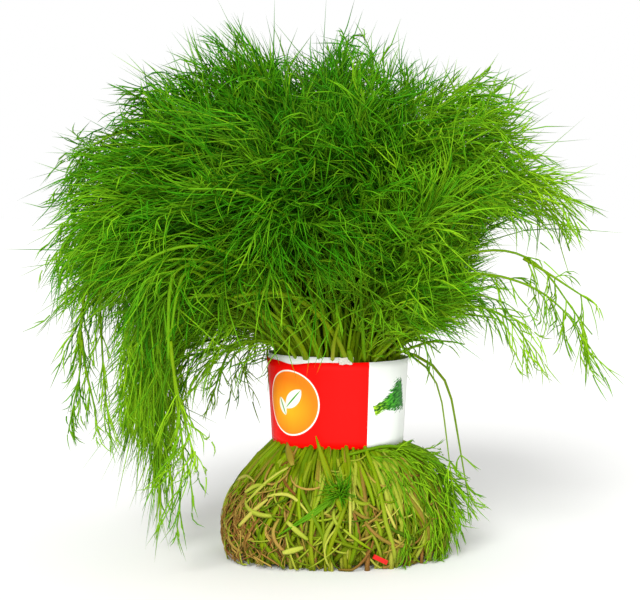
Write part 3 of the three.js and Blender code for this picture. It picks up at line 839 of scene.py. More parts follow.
def add_threads(batch, slot, starts, ways, sides, lengths, tone, painted_light, rng, droop, span=(0.35, 1), steps=4):
    """Adds fine threads that start near the given ways and bend a little."""
    count = len(starts)
    bends = 0.2 * ways * rng.normal(0.5, 0.5, (count, 1)) - 0.3 * sides
    bends += LAY * lay(starts) + np.array([0, 0, -droop]) + rng.normal(0, 0.25, (count, 3))
    bends[:, 2] -= np.minimum(0.5 * hanging(starts), 0.3)
    paths = curves(starts, ways, bends, lengths, steps)
    thickness = THREAD_RADIUS * rng.uniform(0.75, 1.15, count)
    radii = thickness[:, None] * np.interp(np.linspace(0, 1, steps), [0, 0.67, 1], [1, 0.75, 0])
    tint = joined(tone[:, None], np.linspace(*span, steps), painted_light[:, None])
    add_tubes(batch, slot, paths, radii, 3, sides, tint)
    return paths


def seen_from_front(at):
    """Places moved to the plane through the bunch's middle along the camera's lines of sight."""
    nearness = -CAMERA_PLACE[1] / (at[..., 1] - CAMERA_PLACE[1])
    across = CAMERA_PLACE[0] + (at[..., 0] - CAMERA_PLACE[0]) * nearness
    return across, CAMERA_PLACE[2] + (at[..., 2] - CAMERA_PLACE[2]) * nearness


def crown_share(at):
    """How far out places are from the crown's middle: 1 where the leaves end."""
    across, up = seen_from_front(at)
    across, up = across - CROWN_MIDDLE[0], up - CROWN_MIDDLE[2]
    reach = np.interp((np.degrees(np.arctan2(up, across)) + 90) % 360 - 90, *CROWN_OUTLINE)
    seen, deep = np.hypot(across, up) / reach, np.abs(at[..., 1]) / CROWN_DEPTH
    return (seen**CROWN_ROUNDNESS + deep**CROWN_ROUNDNESS) ** (1 / CROWN_ROUNDNESS)


def before_band(at, half_width):
    """Whether places are in front of the band."""
    x, y, z = np.moveaxis(at, -1, 0)
    return (y < 0) & (np.abs(x) < half_width) & (z > BAND_FRONT[0]) & (z < BAND_FRONT[1])


def is_open(at):
    """Whether places are in the open: under the crown, round the band, or beside the drooping
    fronds at the left."""
    across, up = seen_from_front(at)
    outside = across < np.interp(up, *DROOP_LEFT)
    inside = (across > np.interp(up, *DROOP_RIGHT)) & (up < DROOP_JOIN)
    left = (across < LEFT_OPEN[0]) & (up < LEFT_OPEN[1]) & (outside | inside)
    for gap_x, gap_z, half_width, half_height in LEFT_GAPS:
        left |= np.hypot((across - gap_x) / half_width, (up - gap_z) / half_height) < 1
    right = (across > RIGHT_OPEN) & (up < np.interp(across, *RIGHT_UNDERSIDE))
    return left | right | before_band(at, FRONT_HALF[0])


def is_leafless(at, rng, trim):
    """Whether leaves are missing at places: in the open, with a ragged edge, or where the neck is
    bare at the front left. Without trim only those in front of the band are."""
    if not trim:
        return before_band(at, FRONT_HALF[1])
    middle, half_width, top = BARE_NECK
    x, y, z = np.moveaxis(at, -1, 0)
    bare = (y < 0) & (np.abs(x - middle) < half_width) & (z < top) & (rng.random(x.shape) < BARE_SHARE)
    return is_open(at + rng.normal(0, RAGGED, at.shape)) | bare


def hanging(at):
    """How much leaves hang straight down at places: most in the drooping fronds at the left, and
    more the further the crown reaches out."""
    x, y, z = np.moveaxis(at, -1, 0)
    column = LEFT_HANG * fade(x, -62, -96) * fade(z, 148, 98)
    out = fade(np.hypot(x, y), 50, 130) * fade(z, 222, 167)
    return np.maximum(column, OUTER_HANG * out)


def shortened(starts, ways, lengths, limits):
    """Lengths cut back where they pass their limits, as shares of the crown's outline."""
    tips = starts + lengths[:, None] * ways
    over = (crown_share(tips) - limits) * np.linalg.norm(tips - CROWN_MIDDLE, axis=-1)
    return np.maximum(lengths - np.maximum(over, 0), 0.1)


def add_plume(batch, slot, stalk, first, rng, size=1.0, droop=0.14, shade=1.0, trim=True, sparse=1.0):
    """Adds the branches and threads of a leaf, from the given share of its stalk to its tip. trim
    keeps them inside the crown's outline, and sparse spaces them further apart. Their colour gets
    painted shade deep in the crown and painted light at the tips and pale places; shade below 1
    paints them darker still."""
    total = distances_along(stalk)[-1]
    stations = np.arange(first * total, total, sparse * BRANCH_SPACING)
    stations += rng.uniform(-2.5, 2.5, len(stations))
    at, ahead = resample(stalk, stations)
    share = np.clip((stations - first * total) / (total * (1 - first)), 0, 1)
    kept = ~is_leafless(at, rng, trim)
    if not kept.any():
        return
    pairs = int(kept.sum())
    turn = rng.uniform(0, TURN) + np.cumsum(rng.uniform(*BRANCH_TURNS, pairs))
    at, ahead, share = (np.repeat(values[kept], 2, 0) for values in (at, ahead, share))
    turn = np.repeat(turn, 2) + np.tile([0, math.pi], pairs) + rng.normal(0, 0.3, 2 * pairs)
    outward = perpendicular(ahead, turn)
    angle = np.interp(share, *BRANCH_ANGLE) + rng.normal(0, 0.28, len(at))
    hang = hanging(at)
    way = np.cos(angle)[:, None] * ahead + np.sin(angle)[:, None] * outward
    way = unit(way + np.multiply.outer(hang, [0, 0, -0.7]))
    length = size * np.interp(share, *BRANCH_LENGTH) * rng.uniform(0.75, 1.2, len(at))
    limit = rng.uniform(*BRANCH_LIMITS, len(at))
    if trim:
        length = shortened(at, way, length, limit)
    bend = 0.25 * ahead + 0.7 * LAY * lay(at) + rng.normal(0, 0.1, (len(at), 3))
    bend[:, 2] -= droop * (1 + share) + np.minimum(0.4 * hang, 0.25)
    length *= np.where(is_leafless(at + length[:, None] * (way + bend), rng, trim), OPEN_LENGTH, 1)
    paths = curves(at, way, bend, length, BRANCH_STEPS)
    # Pale places, low at the left, at the right and low down: a paler tone, partly their colour and partly
    # painted light, and less painted shade.
    low_left = fade(at[:, 0], -40, -110) * fade(at[:, 2], 200, 140)
    pale = np.maximum(low_left, np.maximum(fade(at[:, 0], 5, 85), fade(at[:, 2], 160, 94)))
    tone = np.clip(rng.normal(0.06, 0.12) + PALE_TONE * pale + rng.normal(0, 0.1, len(at)), 0, 1)
    painted_light = shade * np.clip(HEART_PAINTED_LIGHT + TIP_PAINTED_LIGHT * share + PALE_PAINTED_LIGHT * pale, 0, 1)
    radii = BRANCH_RADIUS * np.linspace(1, BRANCH_TAPER, BRANCH_STEPS) * np.ones((len(at), 1))
    tint = joined(tone[:, None], np.linspace(0.3, 0.6, BRANCH_STEPS), painted_light[:, None])
    add_tubes(batch, slot, paths, radii, 3, outward, tint)
    per_branch = np.maximum((length / (sparse * THREAD_SPACING)).astype(int), 3)
    owner = np.repeat(np.arange(len(at)), per_branch)
    order = np.concatenate([np.arange(n) for n in per_branch])
    spot = (order + 0.8) / (per_branch[owner] - 0.2)
    spot = np.clip(spot + rng.normal(0, 0.03, len(spot)), 0.1, 1)
    starts = at[owner] + length[owner, None] * (spot[:, None] * way[owner] + (spot**2)[:, None] * bend[owner])
    along = unit(way[owner] + 2 * spot[:, None] * bend[owner])
    plane = rng.uniform(0, TURN, len(at))[owner] + math.pi * (order % 2)
    side = perpendicular(along, plane + rng.normal(0, 0.5, len(owner)))
    fork = THREAD_ANGLE * np.where(spot > 0.93, 0.2, 1) * rng.uniform(0.6, 1.3, len(owner))
    thread_way = np.cos(fork)[:, None] * along + np.sin(fork)[:, None] * side
    thread_way = unit(thread_way + np.multiply.outer(hang[owner], [0, 0, -0.5]))
    thread_length = size * np.interp(spot, *THREAD_LENGTH) * rng.uniform(0.7, 1.3, len(owner))
    tone = np.clip(tone[owner] + rng.normal(0, 0.16, len(owner)), 0, 1)
    if trim:
        limits = limit[owner] + rng.normal(0, 0.02, len(owner))
        thread_length = shortened(starts, thread_way, thread_length, limits)
    sag = np.multiply.outer(0.8 * droop + np.minimum(0.5 * hang[owner], 0.3), [0, 0, -1])
    kept = thread_length > SHORTEST_THREAD * size
    for far in (0.6, 1.0):
        kept &= ~is_leafless(starts + far * thread_length[:, None] * (thread_way + far * sag), rng, trim)
    threads = (starts, thread_way, side, thread_length, tone, painted_light[owner])
    starts, thread_way, side, thread_length, tone, painted_light = (values[kept] for values in threads)
    droop *= 0.8
    paths = add_threads(batch, slot, starts, thread_way, side, thread_length, tone, painted_light, rng, droop)
    forked = rng.random(len(starts)) < FORKS
    forks = (paths, -side, FORK_LENGTH * thread_length, tone, painted_light)
    paths, side, length, tone, painted_light = (values[forked] for values in forks)
    way = 0.9 * unit(paths[:, 2] - paths[:, 1]) + 0.42 * side
    way = unit(way + rng.normal(0, 0.1, way.shape))
    add_threads(batch, slot, paths[:, 1], way, side, length, tone, painted_light, rng, droop, (0.55, 1), 3)


def is_bare_side(heading):
    return math.cos(heading - BARE_HEADING) > 0.4


for handful, place in enumerate(handful_places()):
    rng = np.random.default_rng(100 + handful)
    batch = Batch()
    for member in range(STEMS_EACH):
        own = routes[handful * STEMS_EACH + member]
        fallen = own["ways"]["knees"] is FALLEN["knees"]
        drawn = [(own, OWN_SPREAD)]
        if fallen:
            own["ways"] = {**own["ways"], **FALLEN_ARC}
            own["ways"]["heading"] += FALLEN_APART * (1 if member == 0 else -1)
        on_left = math.cos(own["ways"]["heading"]) < -0.5 and place[0] >= 2
        leafy = LEFT_COMPANIONS if on_left else COMPANIONS
        for k in range(0 if fallen else leafy + BARE_COMPANIONS):
            twin = stem_route(place, member, own["stem"] + 1000 * (k + 1))
            ways = twin["ways"]
            ways["lean"] += 8 * rng.normal() + (BARE_SIDE_LEAN if is_bare_side(ways["heading"]) else 0)
            ways["bend"] += 12 * rng.normal()
            ways["length"] *= rng.uniform(*COMPANION_LENGTH)
            drawn.append((twin, COMPANION_SPREAD if k < leafy else BARE_SPREAD))
        for route, wander in drawn:
            line, release = fine_stem(route, rng, wander)
            inside = (crown_share(line[release:]) < 1.0) & ~is_open(line[release:])
            line = line[: len(line) if fallen or inside.all() else release + max(int(inside.argmin()), 4)]
            count = len(line)
            thick = (FALLEN_RADIUS if fallen else STEM_RADII[wander]) * rng.uniform(0.75, 1.25)
            radii = thick * np.interp(np.arange(count), [0, release, count - 1], STEM_TAPER)
            height = line[:, 2]
            dryness = (rng.random() < DRY_STEMS) * (1 - smooth_step(height, 30, 60)) + 0.15 * (height < 20)
            tone = 0.1 if fallen else rng.uniform(0.05, 0.6)
            tint = joined(tone, np.interp(height, *HEIGHT_TINT), dryness)
            tint[release:, 1] = np.linspace(0.35, 0.6 if fallen else 1, count - release)
            side_way = unit(rng.normal(size=(1, 3)) * [1, 1, 0.01])
            add_tubes(batch, 0, line[None], radii[None], STEM_SIDES, side_way, tint[None], pointed=False)
            if wander == BARE_SPREAD:
                continue
            first, size = FALLEN_PLUME if fallen else (rng.uniform(*PLUME_FROM), 1.0)
            if place[0] >= 2 and is_bare_side(route["ways"]["heading"]):
                first += 0.1
            add_plume(batch, 1, line[release:], first, rng, size, trim=not fallen)
    number = f"{handful + 1:02d}"
    stems = batch.piece(f"dill_stems_{number}", [stem_green, leaf_green])
    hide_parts(f"leafy_stems_{number}")
    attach(stems, "root")

# ---- Foot ----
# More cut stems, leaf sheaths and dry stems fill the foot's outside. They start inside the band,
# splay out and cross each other down to their cut ends, and some are cut short.

FOOT_STRANDS = 680
INNER_STRANDS = 150
SCRAPS = 380
FOOT_SQUARE = 0.16  # how much further out its corners at the left are
STRAND_STEPS = 12
STRAND_TOP = 58
STRAND_ENDS = (0.8, 5)  # heights
SHORT_ENDS = (8, 34)  # of the strands that are cut short
SHORT_SHARE = 0.25
KINKED_SHARE = 0.45
SHEATH_SHARE = 0.22
SHEATH_WIDTH = (1.0, 1.9)
DRY_SHARE = 0.2
SCRAP_STEPS = 8
SCRAP_LENGTH = (7, 26)
SCRAP_HEIGHTS = (14, 52)
DRY_SCRAPS = 0.3


def foot_point(angle, rank, z):
    """A point on the foot at an angle and a share of its half width, at a height."""
    corner = FOOT_SQUARE * np.sin(2 * angle) ** 2 * (np.cos(angle) < 0) * fade(z, 60, 0)
    half = np.interp(z, *FOOT_PROFILE) * rank * (1 + corner)
    return joined(half * np.cos(angle), FOOT_DEPTH * half * np.sin(angle), z)


def add_strands(batch, count, rng, ranks=(0.76, 1.0), tones_and_shade=(0, 0.95)):
    """Adds cut stems and flat sheaths that splay out from the band's bottom. The deeper ones get a
    darker tone as painted shade.
    """
    size = (count, 1)
    level = np.linspace(1, 0, STRAND_STEPS)[None]
    free = 1 - level
    angle = rng.uniform(0, TURN, size)
    rank = rng.uniform(*ranks, size)
    short = rng.random(size) < SHORT_SHARE
    end = np.where(short, rng.uniform(*SHORT_ENDS, size), rng.uniform(*STRAND_ENDS, size))
    waves = rng.normal(0, 1, (3, count, 1))
    knee = rng.uniform(0.3, 0.8, size)
    kink = np.where(rng.random(size) < KINKED_SHARE, rng.normal(0, 0.65, size), 0)
    swirl = 0.26 * rng.normal(size=size) * free**1.4 + kink * np.maximum(0, free - knee)
    swirl = swirl + 0.045 * waves[0] * np.sin(math.pi * free) + 0.03 * waves[1] * np.sin(TURN * free)
    rank = np.minimum(rank + 0.05 * waves[2] * np.sin(math.pi * free) * free, 1.02)
    paths = foot_point(angle + swirl, rank, end + (STRAND_TOP - end) * level)
    sheath = rng.random(count) < SHEATH_SHARE
    dry = rng.uniform(0.6, 1, count) * (rng.random(count) < DRY_SHARE)
    width = np.where(sheath, rng.uniform(*SHEATH_WIDTH, count), 0.4 + rng.random(count) ** 1.6)
    width *= np.where(dry > 0, 0.75, 1)
    leaf_shape = 0.55 + 0.45 * np.sin(math.pi * (0.15 + 0.75 * free))
    taper = np.where(sheath[:, None], leaf_shape, 1 + 0.12 * waves[1] * (free - 0.5))
    flat = np.where(sheath, 0.3, rng.uniform(0.6, 0.95, count))
    tangential = joined(-np.sin(angle[:, 0]), FOOT_DEPTH * np.cos(angle[:, 0]), 0)
    tangential = unit(tangential + rng.normal(0, 0.25, tangential.shape))
    # Deeper strands get a darker tone: painted shade between the strands.
    depth = (1 - rank) / (1 - ranks[0])
    tone = rng.uniform(*tones_and_shade, size) ** 0.8 * (0.55 + 0.45 * np.clip(1.8 * depth, 0, 1))
    tint = joined(tone, rng.uniform(0, 0.3, size) + 0.25 * level, dry[:, None])
    add_tubes(batch, 0, paths, width[:, None] * taper, 6, tangential, tint, flat, pointed=False)


def add_scraps(batch, count, rng):
    """Adds torn leaf sheaths and bits of stem that lie over the foot in all directions."""
    size = (count, 1)
    share = np.linspace(0, 1, SCRAP_STEPS)[None]
    step = rng.uniform(*SCRAP_LENGTH, size) / (SCRAP_STEPS - 1)
    heading = rng.normal(-math.pi / 2, 0.8, size) + rng.normal(0, 1.2, size) * share
    start = rng.uniform(0, TURN, size)
    top = rng.uniform(*SCRAP_HEIGHTS, size)
    z = np.clip(top + np.cumsum(step * np.sin(heading), 1), 1, 55)
    angle = start + np.cumsum(step * np.cos(heading), 1) / 50
    rank = 0.985 + 0.03 * rng.random(size) + 0.03 * rng.random(size) * np.sin(math.pi * share)
    shape = 0.4 + 0.6 * np.sin(math.pi * (0.12 + 0.76 * share))
    width = 0.25 + 0.6 * rng.random(size) ** 3 * shape
    outward = joined(np.cos(start[:, 0]), np.sin(start[:, 0]), 0)
    dry = (rng.random(size) < DRY_SCRAPS) * rng.uniform(0.6, 1, size)
    tint = joined(rng.random(size) ** 1.6, rng.uniform(0, 0.35, size) + 0 * share, dry)
    flat = rng.uniform(1.5, 3.2, count)
    radii = width / flat[:, None] ** 0.5
    add_tubes(batch, 0, foot_point(angle, rank, z), radii, 5, outward, tint, flat, pointed=False)


rng = np.random.default_rng(7)
batch = Batch()
add_strands(batch, FOOT_STRANDS, rng)
# The inner strands get dark tones: painted shade deep in the foot.
add_strands(batch, INNER_STRANDS, rng, ranks=(0.6, 0.84), tones_and_shade=(0.7, 1.0))
add_scraps(batch, SCRAPS, rng)
foot_strands = batch.piece("foot_strands", [stem_green])
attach(foot_strands, "root")

# Fine dry roots hang over the stem ends at the front left.
ROOTS = 125
ROOTS_MIDDLE = math.radians(213)
ROOT_STEPS = 9
# Dry root fibre: matt, from dark to straw brown.
dry_root, tree = new_material("dry_root_fibre")
tint = node(tree, "Attribute", out="Vector", attribute_name="tint")
chance = node(tree, "SeparateXYZ", {0: tint})
brown = node(tree, "Mix", {0: chance, 6: srgb("#74441a"), 7: srgb("#a88c40")}, 2, data_type="RGBA")
finish = {"Base Color": brown, "Roughness": 0.8, "Specular IOR Level": 0.15}
node(tree, "OutputMaterial", {"Surface": node(tree, "BsdfPrincipled", finish)})
batch = Batch()
size = (ROOTS, 1)
free = np.linspace(0, 1, ROOT_STEPS)[None]
angle = ROOTS_MIDDLE + rng.normal(0, 0.24, size)
start = rng.uniform(14, 40, size)
end = np.maximum(start - rng.uniform(12, 30, size), 0.8)
waves = rng.normal(0, 1, (4, ROOTS, 1))
swirl = 0.1 * waves[0] * free + 0.05 * waves[1] * np.sin(5 * free + waves[2])
swirl = swirl + 0.04 * waves[3] * np.sin(9 * free)
paths = foot_point(angle + swirl, 1.0 + 0.03 * np.sin(7 * free + 3 * waves[2]), mix(start, end, free))
tint = joined(rng.random(size), free, 0)
radii = rng.uniform(0.2, 0.42, size) * np.ones_like(free)
add_tubes(batch, 0, paths, radii, 3, unit(rng.normal(size=(ROOTS, 3))), tint)
roots = batch.piece("dry_roots", [dry_root])
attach(roots, "root")

# Loose greens on the foot: a small tuft at the front, thin stalks that run from it to the left,
# a stalk that follows the band's bottom edge, and small fronds that hang down at the right.
TUFT = foot_point(math.radians(271), 1.03, 37.0)
TUFT_THREADS = 110
TUFT_STALKS = 5
EDGE_STALK = (  # degrees round the foot, shares of its half width and heights
    (277, 290, 303, 316, 330, 342),
    (1.03, 1.05, 1.08, 1.1, 1.14, 1.18),
    (53, 54.5, 56, 56.5, 55, 48),
)
RIGHT_FRONDS = 16


def add_stalk(batch, points, thick, greenness, flat=1.0, side_way=(0, -1, 0), dryness=0.0, tone=0.3):
    """Adds one smooth stalk through given points, and returns its fine middle line."""
    points = np.asarray(points, float)
    gone = distances_along(points)
    line = read_at(np.linspace(0, gone[-1], max(8, int(gone[-1] / 5))), gone, points)
    for _ in range(3):
        line[1:-1] = (line[:-2] + 2 * line[1:-1] + line[2:]) / 4
    share = np.linspace(0, 1, len(line))
    radii = np.interp(share, np.linspace(0, 1, len(thick)), thick)
    tint = joined(tone, np.interp(share, [0, 1], greenness), dryness)
    side_way = unit(np.array([side_way], float))
    add_tubes(batch, 0, line[None], radii[None], 6, side_way, tint[None], flat, pointed=False)
    return line


batch = Batch()
way = unit(rng.normal(size=(TUFT_THREADS, 3)) * [1, 0.6, 1] + [-0.2, -0.9, -0.1])
starts = TUFT + rng.normal(0, 1.6, (TUFT_THREADS, 3))
side = perpendicular(way, rng.uniform(0, TURN, TUFT_THREADS))
length, tone = rng.uniform(5, 11, TUFT_THREADS), rng.uniform(0, 0.5, TUFT_THREADS)
# The tuft's threads all get a little painted shade.
add_threads(batch, 1, starts, way, side, length, tone, np.full(TUFT_THREADS, 0.75), rng, 0.2)
for k in range(TUFT_STALKS):
    drop = 13 + 1.6 * k
    reach = math.radians(-19 - 2 * k)
    height = TUFT[2] - 0.55 * drop + 2 * math.sin(2 * k)
    bend_point = foot_point(math.radians(270) + 0.5 * reach, 1.03, height)
    end_point = foot_point(math.radians(270) + reach, 1.04, TUFT[2] - drop)
    add_stalk(batch, [TUFT, bend_point, end_point], (0.7, 0.6, 0.35), (0.75, 1))
degrees, out, z = np.array(EDGE_STALK)
add_stalk(batch, foot_point(np.radians(degrees), out, z), (0.8, 0.9, 0.7), (0.6, 0.8))
for k in range(RIGHT_FRONDS):
    angle = math.radians(300 + 4.8 * k)
    low = rng.uniform(6, 26)
    out = 1.04 + 0.22 * smooth_step(k, 4, 9)
    angles = angle + np.array([-0.15, -0.05, 0, rng.normal(0, 0.1)])
    points = foot_point(angles, np.array([0.95, out, 0.5 * out + 0.52, 1.02]), np.array([55, 47, 36, low]))
    line = add_stalk(batch, points, (0.8, 0.6, 0.4), (0.6, 1))
    # Their leaves get painted shade, darker than the crown's.
    add_plume(batch, 1, line, 0.1, rng, 0.24, 0.3, shade=0.8, trim=False)
loose = batch.piece("loose_greens", [stem_green, leaf_green])
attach(loose, "root")

# Leaf sheaths, pale or dry: a dozen broad ones lie bent over the foot's front, and two pointed
# ones stick up over the band's bottom edge.
LOOSE_SHEATHS = (  # degrees round the foot and heights, radius, greenness, dryness
    (((232, 34), (237, 36), (243, 36.5), (249, 33.5), (255, 28)), 1.0, 0.0, 0.1),
    (((223, 20), (227, 26), (231, 31), (233, 33)), 1.2, 0.0, 0.3),
    (((246, 24), (251, 20), (256, 16)), 1.4, 0.15, 0.0),
    (((245, 9.5), (250, 11), (254, 12.5)), 1.5, 0.1, 0.0),
    (((215, 34), (220, 38), (227, 38.5)), 1.2, 0.15, 0.0),
    (((190, 36), (199, 40), (211, 40.5), (217, 39)), 1.1, 0.0, 0.35),
    (((276, 39), (275.5, 29), (275, 18)), 0.8, 0.0, 0.2),
    (((292, 36), (296, 24), (300, 14)), 0.8, 0.0, 0.25),
    (((272, 21), (279, 15), (285, 11)), 0.8, 0.25, 0.0),
    (((262, 46), (260, 36), (257, 27)), 1.0, 0.2, 0.0),
    (((236, 47), (229, 43), (224, 37), (221, 30)), 0.9, 0.1, 0.1),
    (((284, 50), (287, 40), (288, 31)), 1.2, 0.3, 0.0),
)
POINTED_SHEATHS = ((-11, 62, 29, 12, 0.0), (-25, 59, 51, 3, 0.6))  # x, top, foot, lean, dryness
SHEATH_RISE = np.array([0, 0.4, 0.75, 1])
batch = Batch()
for spots, radius, green, brown in LOOSE_SHEATHS:
    degrees, heights = np.array(spots, float).T
    points = foot_point(np.radians(degrees), 1.035, heights)
    run = points[-1] - points[0]
    thick = radius * np.array([0.6, 1.0, 0.95, 0.5])
    across = (-run[2], 0, run[0])
    add_stalk(batch, points, thick, (green, green + 0.1), 0.45, across, dryness=brown, tone=0.02)
for x, top, low, lean, brown in POINTED_SHEATHS:
    points = joined(x + lean * np.array([1, 0.6, 0.2, 0]), (-48, -43, -34, -30.2), mix(low, top, SHEATH_RISE))
    add_stalk(batch, points, (1.0, 2.0, 1.6, 0.3), (0.0, 0.1), 0.3, (1, 0, 0.2), dryness=brown)
sheaths = batch.piece("pale_sheaths", [stem_green])
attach(sheaths, "root")

# ---- Bare stalks at the neck ----
# Thick juicy stalks that rise from the band at the front, arch to the left and show in front of
# the leaves, and two that are bent over at the left.

NECK_STALKS = (  # x, y and z of their points, radii, greenness
    (((4, 3, -5, -14, -23, -35, -48), (-28, -32, -43, -53, -61, -67, -69),
      (98, 103, 117, 127, 133, 134.5, 131.5)), (1.5, 1.4, 0.9), 0.1),
    (((-15, -16, -21, -28, -34), (-25, -31, -41, -50, -56), (98, 104, 112, 121, 125)),
      (1.5, 1.3, 0.8), 0.16),
    (((-3, -3, -2.4, 0), (-28, -33, -41, -47), (98, 102, 110, 118)), (1.3, 1.2, 0.8), 0.0),
    (((12.5, 12, 11, 9.5, 9), (-27, -33, -47, -59, -64), (98, 102, 117, 136, 147)),
      (1.2, 1.1, 0.6), 0.6),
    (((17, 19, 25, 30, 40), (-26, -31, -41, -48, -58), (98, 101, 109, 115, 121)), (1.1, 1.0, 0.7), 0.3),
    (((6, 5.6, 4.8), (-28, -31, -34), (97, 101, 104)), (1.9, 1.8, 1.2), 0.3),
    (((-20, -24, -37, -54, -70), (-22, -32, -50, -64, -70), (98, 106, 124, 133, 131)),
      (1.2, 1.0, 0.6), 0.3),
    (((-9, -12, -26, -45, -61, -77, -90), (-27, -35, -54, -74, -84, -86, -84),
      (98, 108, 132, 150, 156, 154, 146)), (1.2, 1.1, 0.6), 0.4),
    (((-16, -20, -36, -58, -76, -94), (-25, -35, -56, -72, -76, -74), (98, 110, 135, 148, 150, 142)),
      (1.2, 0.9, 0.5), 0.35),
    (((2, 0, -8, -22, -44, -66), (-28, -38, -58, -80, -94, -94), (98, 113, 142, 168, 180, 180)),
      (1.2, 0.9, 0.5), 0.5),
    (((-58, -68, -76, -77, -77), (-66, -73, -75, -76, -76), (143, 148, 146, 126, 104)),
      (0.8, 1.0, 0.8), 0.45),
    (((-60, -66, -71, -74, -76), (-64, -72, -74, -75, -76), (138, 146, 146, 130, 114)),
      (0.8, 0.9, 0.6), 0.45),
)
NECK_THINNED = 0.85
batch = Batch()
for places, thick, greenness in NECK_STALKS:
    thick = NECK_THINNED * np.array(thick)
    add_stalk(batch, joined(*places), thick, (0.15 + greenness, 0.4 + greenness), tone=0.1)
neck = batch.piece("neck_stalks", [stem_green])
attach(neck, "root")

# ---- Stray fronds ----
# Long thin fronds that stray from the crown over the right side and down the left side, and
# others that fill its thin places. Each is a stalk through a few given points, with a plume.

STRAYS = (  # x, y and z of their points, the bare share of the stalk, the leaves' size and spacing
    (((47, 62, 76, 88, 96, 102, 108, 115, 120), -40, (145, 151, 153, 150, 144, 137, 127, 118, 112)),
      0.45, 0.5, 1.6),
    (((87, 98, 109, 116, 122), -40, (148, 142, 134, 130, 126)), 0.4, 0.4, 2.0),
    (((55, 67, 80, 92, 101, 110, 115, 117), -40, (139, 142, 139, 135, 129, 120, 112, 105)),
      0.2, 0.45, 1.1),
    (((47, 62, 74, 83, 87, 91), -40, (124, 127, 124, 119, 112, 105)), 0.3, 0.45, 0.8),
    (((45, 58, 69, 78), -40, (128, 132, 131, 127)), 0.2, 0.45, 0.8),
    (((38, 50, 62, 76), (-30, -32, -34, -36), (116, 121, 122, 119)), 0.3, 0.6, 1.3),
    (((26, 40, 50), (-8, -14, -18), (103, 109, 101)), 0.4, 0.35, 1.0),
    (((10, 15, 24, 36), (-28, -40, -52, -60), (99, 114, 130, 140)), 0.1, 0.6, 0.8),
    (((16, 24, 38, 52), (-26, -38, -50, -56), (99, 112, 124, 130)), 0.1, 0.6, 0.8),
    (((22, 32, 46, 60), (-22, -34, -44, -48), (99, 110, 117, 118)), 0.1, 0.55, 0.8),
    (((13, 16, 20, 26), (-27, -38, -46, -52), (99, 108, 116, 121)), 0.1, 0.5, 0.8),
    (((4, 6, 10, 16), (-29, -42, -56, -66), (99, 118, 138, 150)), 0.3, 0.6, 1.0),
    (((26, 38, 50, 60), (-16, -26, -34, -36), (99, 106, 110, 107)), 0.1, 0.45, 0.8),
    (((-8, -14, -24, -38), (-28, -42, -54, -62), (99, 116, 130, 138)), 0.35, 0.5, 1.4),
    (((-22, -34, -47, -58), (-20, -34, -42, -44), (99, 112, 120, 120)), 0.25, 0.45, 1.2),
    (((-76, -74, -71, -67, -65), -76, (108, 92, 80, 66, 54)), 0.35, 0.42, 0.8),
    (((-76, -74, -72, -70, -75), (-76, -76, -74, -72, -70), (112, 90, 72, 54, 38)), 0.5, 0.5, 0.9),
    (((-50, -95, -120, -131), (-10, -15, -18, -18), (196, 212, 204, 188)), 0.3, 0.7, 0.9),
    (((-60, -95, -116, -128), (-10, -15, -18, -18), (190, 203, 203, 197)), 0.3, 0.6, 0.8),
    (((-50, -78, -95, -104), (-10, -12, -12, -12), (200, 214, 226, 228)), 0.3, 0.6, 0.9),
    (((-36, -46, -54), -10, (215, 232, 248)), 0.2, 0.5, 0.8),
    (((-2, 2, 5), 0, (225, 242, 256)), 0.2, 0.5, 0.8),
    (((36, 54, 68, 80), (-10, -12, -12, -12), (208, 226, 234, 234)), 0.2, 0.6, 0.8),
    (((66, 88, 103, 109, 112), (-20, -22, -22, -22, -22), (172, 179, 172, 161, 151)), 0.3, 0.55, 0.8),
    (((62, 84, 101, 111, 117), (-20, -22, -22, -22, -22), (176, 186, 183, 172, 160)), 0.3, 0.55, 0.8),
    (((-108, -121, -124, -126, -125, -129, -132), -22, (158, 146, 127, 108, 93, 78, 62)),
      0.3, 0.4, 1.0),
    (((-106, -116, -116, -115, -114, -112), -22, (158, 146, 127, 103, 83, 66)), 0.3, 0.35, 1.2),
    (((-125, -123, -119, -118), -22, (108, 90, 78, 68)), 0.1, 0.35, 1.2),
    (((-108, -122, -126, -127), (-10, -14, -14, -14), (160, 142, 122, 106)), 0.2, 0.6, 0.9),
    (((-24, -44, -58, -63), (14, 24, 28, 28), (103, 112, 98, 80)), 0.25, 0.5, 1.2),
    (((-20, -36, -47, -51), (20, 32, 36, 36), (103, 112, 98, 80)), 0.25, 0.5, 1.2),
    (((-24, -36, -50, -62), (-8, -12, -14, -14), (101, 108, 106, 97)), 0.1, 0.5, 0.8),
    (((-22, -34, -48, -60), (-14, -22, -26, -26), (101, 109, 108, 100)), 0.1, 0.5, 0.8),
    (((-26, -42, -58, -72), (2, 4, 6, 6), (101, 108, 106, 97)), 0.1, 0.55, 0.8),
)
TRIMMED_ABOVE = 150  # a stray that ends above this height keeps to the crown's outline
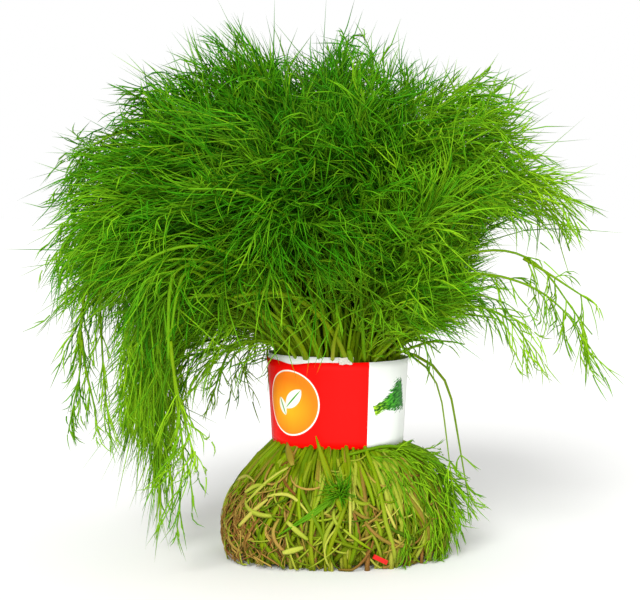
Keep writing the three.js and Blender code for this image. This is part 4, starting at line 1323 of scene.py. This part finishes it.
# So does one at the right that starts beyond this x and below this height, and ends above this one.
UNDER_RIGHT = (15, 117, 105)
SHOULDERS = ((14, 78, 9), (100, 170, 15))  # the sides they point to, in degrees from +X, and how many
rng = np.random.default_rng(21)
batch = Batch()
for places, first, size, sparse in STRAYS:
    line = add_stalk(batch, joined(*places), (0.8, 0.6, 0.3), (0.5, 0.8), tone=0.1)
    start, end = line[0], line[-1]
    at_right = start[0] > UNDER_RIGHT[0] and start[2] < UNDER_RIGHT[1] and end[2] > UNDER_RIGHT[2]
    add_plume(batch, 1, line, first, rng, size, trim=end[2] > TRIMMED_ABOVE or at_right, sparse=sparse)
# Fronds inside the outline fill the crown's shoulders, at the upper left and the upper right.
for low, high, fronds in SHOULDERS:
    for degrees in mix(low, high, (np.arange(fronds) + 0.5) / fronds):
        depth = rng.uniform(-0.5, 0.62) * CROWN_DEPTH
        reach = np.interp(degrees, *CROWN_OUTLINE) * (1 - abs(depth / CROWN_DEPTH) ** CROWN_ROUNDNESS)
        ray = np.array([math.cos(math.radians(degrees)), 0, math.sin(math.radians(degrees))])
        far = np.array([0.4, 0.7, 0.97])
        points = CROWN_MIDDLE + joined(0, far * depth, (1 - far) * 20) + far[:, None] * (reach * ray)
        line = add_stalk(batch, points, (0.7, 0.5, 0.3), (0.6, 0.9), tone=0.1)
        add_plume(batch, 1, line, 0.05, rng, 0.8, sparse=0.9)
strays = batch.piece("stray_fronds", [stem_green, leaf_green])
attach(strays, "root")

# ---- Red tie end ----
# A short flat end of a soft red rubber tie that lies among the cut ends at the front right. It
# keeps its solid.

# Soft rubber, moulded flat: satin, a little scuffed and dusty.
red_rubber, tree = new_material("soft_red_rubber")
where = node(tree, "TexCoord", out="Object")
dust = node(tree, "TexNoise", {"Vector": where, "Scale": 900.0, "Detail": 3.0})
worn = node(tree, "MapRange", {"Value": dust, "From Min": 0.52, "From Max": 0.75, "To Max": 0.5})
rubber = node(tree, "Mix", {0: worn, 6: srgb("#c8150c"), 7: srgb("#8a2a18")}, 2, data_type="RGBA")
scuff = node(tree, "Bump", {"Strength": 0.3, "Distance": 0.0002, "Height": dust})
finish = {"Base Color": rubber, "Roughness": 0.55, "Specular IOR Level": 0.3, "Normal": scuff}
node(tree, "OutputMaterial", {"Surface": node(tree, "BsdfPrincipled", finish)})
bpy.data.objects["red_tie_end"].material_slots[0].material = red_rubber
